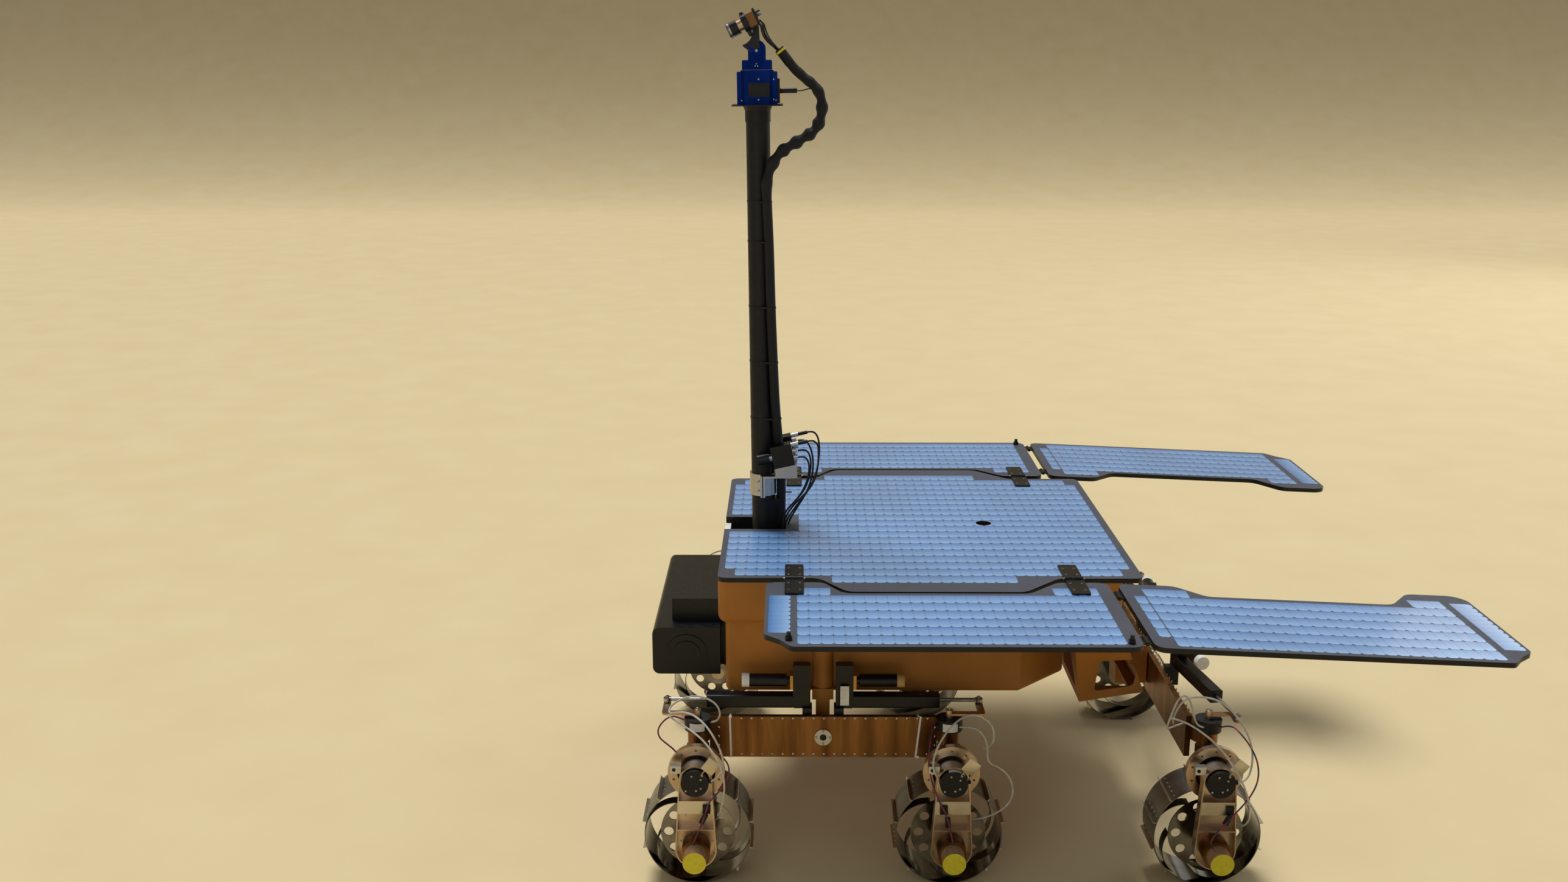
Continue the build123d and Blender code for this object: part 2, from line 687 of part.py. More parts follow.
def body_camera():
    """Boxed camera with a stepped lens in front, two sockets and a plug with its boot behind."""
    length, width, height = CAMERA_BODY
    camera = Box(length, width, height)
    camera = fillet(camera.edges().filter_by(Axis.X), 1.5)
    camera += Pos(length / 2, 0, 0) * stepped_barrel(CAMERA_LENS)
    camera += Pos(-length / 2, PLUG_SIDE, PLUG_UP) * Rot(0, 0, 180) * stepped_barrel(PLUG_STEPS)
    for y, z in SOCKET_SPOTS:
        camera += rod_x(SOCKET_R, (-length / 2 - SOCKET_L, -length / 2), y, z)
    return camera


def mast_cameras():
    """Two cameras, one on each side of the mast, each on its wedge."""
    x, y, z = CAMERA_AT
    near = leaned(pitched(body_camera(), (x, y, z), CAMERA_PITCH))
    return left_and_right(near)


def head_plate():
    """Square plate on the mast's collar."""
    z = (HEAD_PLATE_BOTTOM, HEAD_PLATE_TOP)
    return leaned(box((MAST_X - HEAD_PLATE_HALF, MAST_X + HEAD_PLATE_HALF), (-HEAD_PLATE_HALF, HEAD_PLATE_HALF), z))


def pan_base():
    """Body of the pan and tilt unit: eight-sided core between two end flanges, socket box and plug behind."""
    core_x = (MAST_X - PAN_CORE_L / 2, MAST_X + PAN_CORE_L / 2)
    base = box(core_x, (-PAN_CORE_W / 2, PAN_CORE_W / 2), (HEAD_PLATE_TOP, PAN_BASE_TOP))
    base = chamfer(base.edges().filter_by(Axis.Z), PAN_CORE_CHAMFER)
    flange_x = (MAST_X - PAN_FLANGE_L / 2, MAST_X + PAN_FLANGE_L / 2)
    flange = box(flange_x, (-PAN_FLANGE_W / 2, PAN_FLANGE_W / 2), (HEAD_PLATE_TOP, HEAD_PLATE_TOP + PAN_FLANGE_H))
    base += fillet(flange.edges().filter_by(Axis.Y).group_by(Axis.Z)[-1], 3)
    depth, width, height = PAN_BOX
    socket_z = HEAD_PLATE_TOP + 3
    base += box((flange_x[0] - depth, flange_x[0]), (-width / 2, width / 2), (socket_z, socket_z + height))
    plug_x = flange_x[0] - depth
    return leaned(base + rod_x(PAN_PLUG_R, (plug_x - PAN_PLUG_L, plug_x), 0, socket_z + height / 2))


def pan_yoke():
    """Stepped upper part that turns on the base: wide foot, round-topped upright and the tilt shaft."""
    low_x = (MAST_X - YOKE_LOW_L / 2, MAST_X + YOKE_LOW_L / 2)
    low = box(low_x, (-YOKE_W / 2, YOKE_W / 2), (YOKE_BOTTOM, YOKE_BOTTOM + YOKE_LOW_H))
    low = fillet(low.edges().filter_by(Axis.Y).group_by(Axis.Z)[-1], 4)
    high_x = (MAST_X - YOKE_HIGH_L / 2, MAST_X + YOKE_HIGH_L / 2)
    high_y = (-YOKE_HIGH_HALF, YOKE_HIGH_HALF)
    round_z = PAN_BASE_TOP + YOKE_ROUND_UP
    high = box(high_x, high_y, (YOKE_BOTTOM + YOKE_LOW_H / 2, round_z))
    high += rod_y(YOKE_HIGH_L / 2, MAST_X, high_y, round_z)
    shaft = rod_y(TILT_SHAFT_R, MAST_X, (-CHEEK_OUTER - 2, CHEEK_OUTER + 2), TILT_Z)
    return leaned(low + high + shaft)


def head_point(u, w):
    """Upright x and z of a point given along the lens axis and up from it."""
    pitch = radians(HEAD_PITCH)
    return HEAD_X + u * cos(pitch) + w * sin(pitch), HEAD_Z - u * sin(pitch) + w * cos(pitch)


def tilt_bracket():
    """Two fin-shaped cheeks on the tilt shaft, joined by the sloping bar that carries the cameras."""
    bar_w = (-HEAD_BOX[2] / 2 - HEAD_BAR_T, -HEAD_BOX[2] / 2)
    bar_middle = head_point(sum(HEAD_BAR_U) / 2, sum(bar_w) / 2)
    bar = Pos(bar_middle[0], 0, bar_middle[1]) * Rot(0, HEAD_PITCH, 0) * Box(
        HEAD_BAR_U[1] - HEAD_BAR_U[0], 2 * HEAD_BAR_HALF, HEAD_BAR_T
    )
    crown_front = head_point(8.0, bar_w[0] + 1)
    crown_rear = head_point(-9.0, bar_w[0] + 1)
    tip = (MAST_X + 36.0, TILT_Z + 14.0)
    brow = (MAST_X + 15.0, TILT_Z + 29.0)
    chin = (MAST_X + 33.0, TILT_Z + 9.0)
    outline = Wire([
        ThreePointArc(crown_front, brow, tip),
        Line(tip, chin),
        Line(chin, (MAST_X + 8.0, TILT_Z - 9.0)),
        Line((MAST_X + 8.0, TILT_Z - 9.0), (MAST_X - 8.0, TILT_Z)),
        Line((MAST_X - 8.0, TILT_Z), crown_rear),
        Line(crown_rear, crown_front),
    ])
    cheek = Pos(0, CHEEK_OUTER, 0) * extrude(Plane.XZ * make_face(outline), CHEEK_OUTER - CHEEK_INNER)
    cheek += rod_y(TILT_HUB_R, MAST_X, (CHEEK_INNER, CHEEK_OUTER), TILT_Z)
    cheek -= rod_y(TILT_SHAFT_R + PIVOT_PLAY, MAST_X, (CHEEK_INNER - 1, CHEEK_OUTER + 1), TILT_Z)
    near, far = left_and_right(cheek)
    return leaned(bar + near + far)


def head_cameras():
    """Two cameras side by side on the tilt bar: box, back plate with socket, clamp ring and stepped lens."""
    length, width, height = HEAD_BOX
    back_l, back_w, back_h = HEAD_BACK
    camera = Box(length, width, height)
    camera += Pos(-(length + back_l) / 2, 0, (back_h - height) / 2) * Box(back_l, back_w, back_h)
    camera += rod_x(HEAD_SOCKET_R, (-length / 2 - back_l - HEAD_SOCKET_L, -length / 2 - back_l), 0, height / 4)
    camera += stepped_barrel(((HEAD_RINGS[0][0], length / 2, HEAD_RINGS[0][2]),) + HEAD_RINGS[1:])
    clamp_u = (HEAD_RINGS[0][1] + HEAD_RINGS[0][2]) / 2
    camera += rod_z(HEAD_KNOB_R, clamp_u, 0, (-HEAD_KNOB_REACH, HEAD_RINGS[0][0] + HEAD_KNOB_R))
    near = leaned(pitched(camera, (HEAD_X, HEAD_HALF, HEAD_Z), HEAD_PITCH))
    return left_and_right(near)


# Bogies, each built along its own beam: u runs outward along the beam, v across it


def side_beam():
    """Shallow riveted box beam of the left side bogie, with its pivot flange and bore."""
    half = HALF_BASE - BEAM_END_GAP
    flange_face = BEAM_OUTER_Y + PIVOT_FLANGE_T
    beam = box((PIVOT_X - half, PIVOT_X + half), (BEAM_INNER_Y, BEAM_OUTER_Y), (BEAM_BOTTOM, BEAM_TOP))
    beam += rod_y(PIVOT_FLANGE_R, PIVOT_X, (BEAM_OUTER_Y, flange_face), PIVOT_Z)
    return beam - rod_y(PIVOT_R + PIVOT_PLAY, PIVOT_X, (BEAM_INNER_Y - 1, flange_face + 1), PIVOT_Z)


def rear_beam():
    """Transverse beam of the rear bogie, pivoted at its middle."""
    x = (REAR_BEAM_X - BEAM_T / 2, REAR_BEAM_X + BEAM_T / 2)
    beam = box(x, (-REAR_BEAM_HALF, REAR_BEAM_HALF), (BEAM_BOTTOM, BEAM_TOP))
    beam += rod_x(PIVOT_FLANGE_R, (x[0] - PIVOT_FLANGE_T, x[0]), 0, PIVOT_Z)
    return beam - rod_x(PIVOT_R + PIVOT_PLAY, (x[0] - PIVOT_FLANGE_T - 1, x[1] + 1), 0, PIVOT_Z)


def actuator(mirror_u):
    """One linear steering drive along +u from the bogie's middle: gearbox, square tube, motor with cap."""
    v = (-GEARBOX_HALF_Y, GEARBOX_HALF_Y)
    unit = box((GEARBOX_NEAR, GEARBOX_FAR), v, (GEARBOX_BOTTOM, GEARBOX_TOP))
    unit = fillet(unit.edges().filter_by(Axis.Y), GEARBOX_EDGE_R)
    tube = box((GEARBOX_FAR, TUBE_END), (-TUBE_HALF, TUBE_HALF), (ACTUATOR_Z - TUBE_HALF, ACTUATOR_Z + TUBE_HALF))
    unit += fillet(tube.edges().filter_by(Axis.X), TUBE_EDGE_R)
    unit -= rod_x(ROD_R + PIVOT_PLAY, (TUBE_END - ROD_INSIDE - ROD_TRAVEL, TUBE_END + 1), 0, ACTUATOR_Z)
    plate_u = (GEARBOX_FAR, GEARBOX_FAR + MOTOR_PLATE_T)
    plate_z = (MOTOR_Z - MOTOR_PLATE_HALF, MOTOR_Z + MOTOR_PLATE_HALF)
    unit += box(plate_u, (-MOTOR_PLATE_HALF, MOTOR_PLATE_HALF), plate_z)
    neck_end = plate_u[1] + MOTOR_NECK_L
    unit += rod_x(MOTOR_NECK_R, (plate_u[1], neck_end), 0, MOTOR_Z)
    unit += rod_x(MOTOR_R, (neck_end, MOTOR_END - MOTOR_CAP_L), 0, MOTOR_Z)
    unit += rod_x(MOTOR_CAP_R, (MOTOR_END - MOTOR_CAP_L, MOTOR_END), 0, MOTOR_Z)
    return mirror(unit, about=Plane.YZ) if mirror_u else unit


def actuator_rod(along, mirror_u):
    """Steering rod with its eye, reaching from inside the tube to the lever."""
    eye_z = (ACTUATOR_Z - EYE_T / 2, ACTUATOR_Z + EYE_T / 2)
    rod = rod_x(ROD_R, (TUBE_END - ROD_INSIDE, along), 0, ACTUATOR_Z)
    rod += rod_z(EYE_R, along, 0, eye_z)
    rod += rod_z(EYE_PIN_R, along, 0, (LEVER_Z + LEVER_T + KNUCKLE_PLAY, eye_z[1] + EYE_PIN_OUT))
    return mirror(rod, about=Plane.YZ) if mirror_u else rod


def steering_housing(arm):
    """Fixed drum and bearing barrel round the steering shaft, with its arm to the beam."""
    housing = rod_z(ENCODER_R, 0, 0, (ENCODER_BOTTOM, ENCODER_TOP))
    housing += rod_z(BARREL_R, 0, 0, (BARREL_BOTTOM, ENCODER_BOTTOM))
    face = make_face(Polyline(*arm, close=True))
    housing += Pos(0, 0, BARREL_BOTTOM) * extrude(face, ENCODER_BOTTOM - BARREL_BOTTOM)
    return housing - rod_z(STEER_SHAFT_R + STEER_PLAY, 0, 0, (BARREL_BOTTOM - 1, ENCODER_TOP + 1))


def bent_lever(eye, elbow):
    """Flat lever with one bend: from the steering shaft to its elbow, then to the rod's eye."""
    lever = None
    for start, end in (((0, 0), elbow), (elbow, eye)):
        dx, dy = end[0] - start[0], end[1] - start[1]
        arm = extrude(SlotCenterToCenter(hypot(dx, dy), LEVER_W), LEVER_T)
        arm = Pos((start[0] + end[0]) / 2, (start[1] + end[1]) / 2, LEVER_Z) * Rot(0, 0, degrees(atan2(dy, dx))) * arm
        lever = arm if lever is None else lever + arm
    return lever


def steering_knuckle(eye, elbow):
    """Shaft with the bent lever on top, and the arm below that carries the walking ring outboard."""
    knuckle = rod_z(STEER_SHAFT_R, 0, 0, (YOKE_PLATE_BOTTOM, LEVER_Z + LEVER_T + SHAFT_NUT_H))
    knuckle += bent_lever(eye, elbow)
    arm_top = BARREL_BOTTOM - STEER_END_PLAY
    arm = box((-YOKE_PLATE_HALF, YOKE_PLATE_HALF), (-BARREL_R, RING_BACK), (YOKE_PLATE_BOTTOM, arm_top))
    knuckle += fillet(arm.edges().filter_by(Axis.Z).group_by(Axis.Y)[0], BARREL_R * 0.9)
    ring = rod_y(RING_R, 0, (RING_BACK, RING_BACK + RING_T), WALK_Z)
    ring -= rod_y(RING_BORE_R, 0, (RING_BACK + RING_WEB_T, RING_BACK + RING_T + 1), WALK_Z)
    hole_r = (RING_R + RING_BORE_R) / 2
    for n in range(RING_HOLE_COUNT):
        angle = radians(360 / RING_HOLE_COUNT * (n + 0.5))
        x = hole_r * cos(angle)
        z = WALK_Z + hole_r * sin(angle)
        ring -= rod_y(RING_HOLE_R, x, (RING_BACK + RING_T / 2, RING_BACK + RING_T + 1), z)
    knuckle += ring
    return knuckle + rod_y(WALK_SHAFT_R, 0, (RING_BACK, WALK_SHAFT_END), WALK_Z)


def leg_outline(grow):
    """Leg profile in the wheel's plane: round top about the walking axis, wider round foot."""
    top = LEG_TOP_HALF + grow
    foot = LEG_BOTTOM_HALF + grow
    rise = WALK_Z - HUB_Z
    lean = asin((foot - top) / rise)
    top_x = top * cos(lean)
    top_z = rise + top * sin(lean)
    foot_x = foot * cos(lean)
    foot_z = foot * sin(lean)
    line_1 = Line((foot_x, foot_z), (top_x, top_z))
    arc_1 = ThreePointArc((top_x, top_z), (0, rise + top), (-top_x, top_z))
    line_2 = Line((-top_x, top_z), (-foot_x, foot_z))
    arc_2 = ThreePointArc((-foot_x, foot_z), (0, -foot), (foot_x, foot_z))
    return make_face(Wire([line_1, arc_1, line_2, arc_2]))


def walking_leg():
    """Tray-shaped leg with cross ribs, carried by the walking drum and carrying the drive unit."""
    def slab(grow, y):
        face = Plane(origin=(0, y[0], HUB_Z), x_dir=(-1, 0, 0), z_dir=(0, 1, 0)) * leg_outline(grow)
        return extrude(face, y[1] - y[0])

    leg = slab(0, (LEG_BACK, LEG_FRONT)) - slab(-LEG_WALL, (LEG_BACK + LEG_BACK_T, LEG_FRONT + 1))
    inner = slab(-LEG_WALL / 2, (LEG_BACK, LEG_FRONT))
    high, middle, low = LEG_SHELVES
    ribs = box((-80, 80), (LEG_BACK, LEG_FRONT), (high - LEG_WALL, high))
    ribs += box((-80, 80), (LEG_FRONT - LEG_WALL, LEG_FRONT), (middle, high))
    ribs += box((-80, 80), (LEG_BACK, LEG_FRONT), (middle - LEG_WALL, middle))
    ribs += box((-80, 80), (LEG_BACK, LEG_FRONT), (low - LEG_WALL, low))
    leg += ribs & inner
    lug_l, lug_w, lug_h = CLAMP_LUG
    lug_z = WALK_Z + LEG_TOP_HALF * 0.45
    leg += box((LEG_TOP_HALF - 6, LEG_TOP_HALF - 6 + lug_l), (LEG_BACK + 2, LEG_BACK + 2 + lug_w), (lug_z, lug_z + lug_h))
    leg += rod_y(WALK_DRUM_R, 0, (RING_BACK + RING_WEB_T + WALK_END_PLAY, WALK_DRUM_END), WALK_Z)
    leg += rod_y(WALK_ENCODER_R, 0, (WALK_DRUM_END, WALK_ENCODER_END), WALK_Z)
    leg -= rod_y(WALK_SHAFT_R + WALK_PLAY, 0, (RING_BACK, WALK_SHAFT_END + 1), WALK_Z)
    leg += rod_y(DRIVE_R, 0, (LEG_BACK, DRIVE_END), HUB_Z)
    leg += rod_y(DRIVE_NECK_R, 0, (DRIVE_END, CAP_END), HUB_Z)
    return leg + rod_y(DRIVE_SHAFT_R, 0, (-DRIVE_SHAFT_INNER, LEG_BACK), HUB_Z)


def spring_leaf():
    """Curved leaf from the hub disc's edge to the inside of the rim."""
    inner_r = HUB_DISC_R - SPRING_T
    outer_r = RIM_OUTER_R - RIM_WALL / 2
    start = (inner_r, 0)
    end_angle = radians(SPRING_SWEEP)
    end = (outer_r * cos(end_angle), outer_r * sin(end_angle))
    middle_angle = radians(SPRING_SWEEP * 0.5)
    middle_r = (inner_r + outer_r) / 2 + 9
    middle = (middle_r * cos(middle_angle), middle_r * sin(middle_angle))
    centre_line = ThreePointArc(start, middle, end)
    return make_face(trace_band(centre_line, SPRING_T))


def trace_band(line, width):
    """Closed outline of a band of even width along an arc."""
    arc = line.edge() if hasattr(line, "edge") else line
    centre = arc.arc_center
    points = [arc @ 0, arc @ 0.5, arc @ 1]
    outer = [centre + (p - centre).normalized() * ((p - centre).length + width / 2) for p in points]
    inner = [centre + (p - centre).normalized() * ((p - centre).length - width / 2) for p in points]
    return Wire([
        ThreePointArc(*outer),
        Line(outer[2], inner[2]),
        ThreePointArc(inner[2], inner[1], inner[0]),
        Line(inner[0], outer[0]),
    ])


def wheel():
    """Flexible metal wheel: thin rim with grousers, spring leaves, hub disc with round holes."""
    half = WHEEL_W / 2
    rim = Cylinder(RIM_OUTER_R, WHEEL_W) - Cylinder(RIM_OUTER_R - RIM_WALL, WHEEL_W + 1)
    fin_r = RIM_OUTER_R - GROUSER_SINK
    fin = Pos((fin_r + WHEEL_R) / 2, 0, 0) * Box(WHEEL_R - fin_r, GROUSER_T, WHEEL_W)
    for n in range(GROUSER_COUNT):
        rim += Rot(0, 0, 360 / GROUSER_COUNT * n + 180 / GROUSER_COUNT) * fin
    disc_z = half - HUB_DISC_INSET
    disc = Pos(0, 0, disc_z - HUB_DISC_T / 2) * Cylinder(HUB_DISC_R, HUB_DISC_T)
    for n in range(HUB_HOLE_COUNT):
        angle = radians(360 / HUB_HOLE_COUNT * n)
        spot = (HUB_HOLE_PCR * cos(angle), HUB_HOLE_PCR * sin(angle), disc_z)
        disc -= Pos(*spot) * Cylinder(HUB_HOLE_R, 4 * HUB_DISC_T)
    barrel = Pos(0, 0, disc_z - HUB_BARREL_LEN / 2) * Cylinder(HUB_BARREL_R, HUB_BARREL_LEN)
    wheel_shape = rim + disc + barrel
    leaf = Pos(0, 0, disc_z - SPRING_W + SPRING_T) * extrude(spring_leaf(), SPRING_W)
    for n in range(SPRING_COUNT):
        wheel_shape += Rot(0, 0, 360 / SPRING_COUNT * n) * leaf
    bore = DRIVE_SHAFT_R + HUB_PLAY
    wheel_shape -= Pos(0, 0, 0) * Cylinder(bore, 4 * half)
    return Rot(90, 0, 0) * Rot(0, 180, 0) * wheel_shape


# Brackets between body and bogies


def bogie_post():
    """Left post under the shoulder: half-round column, saddle, block, and the arm and pin of the side bogie."""
    front = Plane(origin=(PIVOT_X, TUB_HALF_W, POST_BOTTOM), x_dir=(1, 0, 0), z_dir=(0, 0, 1))
    lower = make_face(Wire([CenterArc((0, 0), POST_R, 0, 180), Line((-POST_R, 0), (POST_R, 0))]))
    upper = make_face(Wire([CenterArc((0, 0), POST_TOP_R, 0, 180), Line((-POST_TOP_R, 0), (POST_TOP_R, 0))]))
    rise = SHOULDER_BOTTOM - POST_BOTTOM
    post = loft([front * lower, front * Pos(0, 0, rise) * upper])
    saddle_top = POST_BOTTOM + POST_SADDLE[0]
    saddle_y = (TUB_HALF_W, TUB_HALF_W + POST_SADDLE[1])
    post += box((PIVOT_X - POST_R, PIVOT_X + POST_R), saddle_y, (POST_ARM_Z[1] + 46.0, saddle_top))
    block_x = (PIVOT_X - POST_BLOCK_HALF, PIVOT_X + POST_BLOCK_HALF)
    post += box(block_x, (TUB_HALF_W, POST_ARM_FROM), (POST_ARM_Z[0], saddle_top))
    arm_y = (TUB_HALF_W, BEAM_INNER_Y - PIVOT_END_PLAY)
    post += box((PIVOT_X - POST_ARM_HALF, PIVOT_X + POST_ARM_HALF), arm_y, POST_ARM_Z)
    pin_y = (arm_y[1] - 1, BEAM_OUTER_Y + PIVOT_FLANGE_T)
    return post + rod_y(PIVOT_R, PIVOT_X, pin_y, PIVOT_Z)


def rear_bracket():
    """Folded sheet tray under the stern with cut-outs, ledges along the tub and the rear pivot block."""
    def tray_solid(grow):
        sections = []
        for z, front, rear, front_half, rear_half in TRAY_SECTIONS:
            a = (front + grow, front_half + grow)
            b = (rear - grow, rear_half + grow)
            outline = Polyline(a, b, (b[0], -b[1]), (a[0], -a[1]), close=True)
            sections.append(Pos(0, 0, z) * make_face(outline))
        return loft(sections)

    tray = tray_solid(0) - tray_solid(-TRAY_WALL)
    floor_z = (TRAY_BOTTOM, TRAY_BOTTOM + TRAY_WALL)
    floor_x = (REAR_BLOCK_X - 100.0, LEDGE_FRONT)
    lip = box(floor_x, (-TUB_HALF_W, TUB_HALF_W), floor_z) & tray_solid(0)
    tray += lip - box(TRAY_WELL_X, (-TRAY_WELL_HALF, TRAY_WELL_HALF), (floor_z[0] - 1, floor_z[1] + 1))
    for side in (1, -1):
        cut_y = sorted((side * TRAY_CUT_Y[0], side * TRAY_CUT_Y[1]))
        cut = box((-160.0, -90.0), cut_y, TRAY_CUT_Z)
        tray -= fillet(cut.edges().filter_by(Axis.X), 12)
        end_cut = box(TRAY_WELL_X, sorted((side * 250.0, side * 420.0)), (TRAY_CUT_Z[0], TRAY_CUT_Z[1] + 15))
        tray -= fillet(end_cut.edges().filter_by(Axis.Y), 12)
    ledge_out = TUB_HALF_W + LEDGE_OUT
    stern_x, stern_half = TRAY_SECTIONS[1][2], TRAY_SECTIONS[1][4]
    for side in (1, -1):
        points = [
            (LEDGE_FRONT, side * TUB_HALF_W), (LEDGE_FRONT, side * ledge_out),
            (TRAY_SECTIONS[1][1], side * ledge_out), (stern_x, side * stern_half), (stern_x, side * TUB_REAR_HALF_W),
            (TUB_REAR, side * TUB_REAR_HALF_W), (TUB_TAPER_X, side * TUB_HALF_W),
        ]
        face = make_face(Polyline(*points, close=True))
        tray += Pos(0, 0, TRAY_TOP) * extrude(face, TRAY_WALL)
    block_x = (REAR_BEAM_X + BEAM_T / 2 + PIVOT_END_PLAY, REAR_BLOCK_X)
    tray += box(block_x, (-REAR_BLOCK_HALF, REAR_BLOCK_HALF), (REAR_BLOCK_BOTTOM, REAR_BLOCK_TOP))
    pin = (REAR_BEAM_X - BEAM_T / 2 - PIVOT_FLANGE_T, block_x[0] + PIVOT_END_PLAY)
    return tray + rod_x(PIVOT_R, pin, 0, PIVOT_Z)


# Cables


def tube_along(points, radius):
    """Round tube along straight runs joined by arcs as large as the runs allow."""
    vectors = [Vector(*p) for p in points]
    runs = [b - a for a, b in zip(vectors, vectors[1:])]
    radii = []
    for one, two in zip(runs, runs[1:]):
        turn = radians(one.get_angle(two))
        radii.append(ARC_SHARE * min(one.length, two.length) / tan(turn / 2))
    path = FilletPolyline(*vectors, radius=radii)
    start = Plane(origin=path @ 0, z_dir=path % 0)
    tube = sweep(start * Circle(radius), path=path)
    ideal = pi * radius ** 2 * path.length
    print("tube", round(path.length, 1), "tightest", round(min(radii), 1), "volume", round(tube.volume / ideal, 4))
    return tube


def sleeve_run_points():
    """Centres of the strapped sleeve down the mast, worked out from the mast's axis."""
    points = []
    for z, turn, gap in SLEEVE_RUN:
        reach = MAST_R + SLEEVE_R + gap
        lean_x = (z - MAST_WELL_FLOOR) * tan(radians(MAST_LEAN))
        points.append((MAST_X + lean_x - reach * cos(radians(turn)), reach * sin(radians(turn)), z))
    return points


def sleeve_loop():
    """Free loop of the sleeve, from behind the head to the mast's side."""
    top, below = [Vector(*p) for p in sleeve_run_points()[:2]]
    run_in = top + (top - below).normalized() * SLEEVE_RUN_IN
    return tube_along(SLEEVE_LOOP + (tuple(run_in), tuple(top)), SLEEVE_R)


def mast_sleeve():
    """Strapped sleeve from the loop's end down the mast onto its foot."""
    points = sleeve_run_points()
    foot = (points[-1][0], points[-1][1], MAST_WELL_FLOOR + MAST_FOOT_T)
    return tube_along(points + [foot], SLEEVE_R)


def leaned_point(x, y, z):
    """A point of the upright mast group, moved by the lean."""
    lean = radians(MAST_LEAN)
    dx, dz = x - MAST_X, z - MAST_WELL_FLOOR
    return MAST_X + dx * cos(lean) + dz * sin(lean), y, MAST_WELL_FLOOR - dx * sin(lean) + dz * cos(lean)


def camera_lead():
    """Thin lead from the near camera's boot down into the well."""
    pitch = radians(CAMERA_PITCH)
    ends = []
    for out in (0, LEAD_RUN_OUT):
        u = -CAMERA_BODY[0] / 2 - PLUG_STEPS[-1][2] - out
        x = CAMERA_AT[0] + u * cos(pitch) + PLUG_UP * sin(pitch)
        z = CAMERA_AT[2] - u * sin(pitch) + PLUG_UP * cos(pitch)
        ends.append(leaned_point(x, CAMERA_AT[1] + PLUG_SIDE, z))
    foot = (LEAD_ROUTE[-1][0], LEAD_ROUTE[-1][1], MAST_WELL_FLOOR)
    return tube_along(tuple(ends) + LEAD_ROUTE + (foot,), LEAD_R)


# Placing the pieces

WING_DROOP = 2.5
WING_AXIS_X = (SIDE_REAR + WING_FRONT) / 2
ROD_LINE_Y = TRACK_HALF - LEVER_ACROSS
REAR_DRIVE_Y = 167.0
REAR_DRIVE_X = -438.0
GEARBOX_MID = (GEARBOX_NEAR + GEARBOX_FAR) / 2
REAR_EYE = (REAR_X + REAR_LEVER[0], TRACK_HALF + REAR_LEVER[1])
REAR_RUN = hypot(REAR_EYE[0] - REAR_DRIVE_X, REAR_EYE[1] - REAR_DRIVE_Y)
REAR_TURN = degrees(atan2(REAR_EYE[1] - REAR_DRIVE_Y, REAR_EYE[0] - REAR_DRIVE_X))
SIDE_REACH = HALF_BASE + LEVER_ALONG
REAR_REACH = GEARBOX_MID + REAR_RUN

SIDE_ARM = (
    (-80, -38), (-27.5, -38), (-27.5, -23), (-10, 0), (10, 0), (10, -24), (-10, -50), (-80, -50),
)
REAR_ARM = ((32, -80), (32, -36), (16, -8), (-12, -8), (-12, -30), (18, -80))

# Left wheel stations: name, x, lever eye offset, lever elbow offset, housing arm
STATIONS = (
    ("front", FRONT_X, (LEVER_ALONG, -LEVER_ACROSS), (LEVER_ALONG, 0.0), SIDE_ARM),
    ("middle", MIDDLE_X, (-LEVER_ALONG, -LEVER_ACROSS), (-LEVER_ALONG, 0.0), [(-x, y) for x, y in reversed(SIDE_ARM)]),
    ("rear", REAR_X, REAR_LEVER, (REAR_LEVER[0], 0.0), REAR_ARM),
)


def drooped(shape):
    """A wing piece turned down about the wing hinge by the droop seen at rest."""
    place = Pos(WING_AXIS_X, 0, PANEL_MID)
    return place * Rot(0, -WING_DROOP, 0) * place.inverse() * shape


def rear_drive_place():
    """Where the left rear steering drive lies: beside the beam, angled out to its lever."""
    spot = Pos(REAR_DRIVE_X, REAR_DRIVE_Y, 0)
    return spot * Rot(0, 0, REAR_TURN) * Pos(-GEARBOX_MID, 0, 0)


def side_drives():
    """Both drives of the left bogie, with the feet that bolt to the beam's back."""
    place = Pos(PIVOT_X, ROD_LINE_Y, 0)
    drives = []
    for flip in (False, True):
        unit = place * actuator(flip)
        sign = -1 if flip else 1
        x = sorted((PIVOT_X + sign * FOOT_NEAR, PIVOT_X + sign * FOOT_FAR))
        foot = box(x, (ROD_LINE_Y - GEARBOX_HALF_Y, BEAM_INNER_Y), (FOOT_BOTTOM, GEARBOX_BOTTOM + GEARBOX_EDGE_R))
        drives.append(unit + foot)
    return drives


def rear_drive():
    """Left drive of the rear bogie with its foot on the beam's rear face."""
    foot_half = (FOOT_FAR - FOOT_NEAR) / 2
    foot_y = (REAR_DRIVE_Y - foot_half, REAR_DRIVE_Y + foot_half)
    foot = box((REAR_DRIVE_X, REAR_BEAM_X - BEAM_T / 2), foot_y, (FOOT_BOTTOM, GEARBOX_BOTTOM + GEARBOX_EDGE_R))
    return rear_drive_place() * actuator(False) + foot


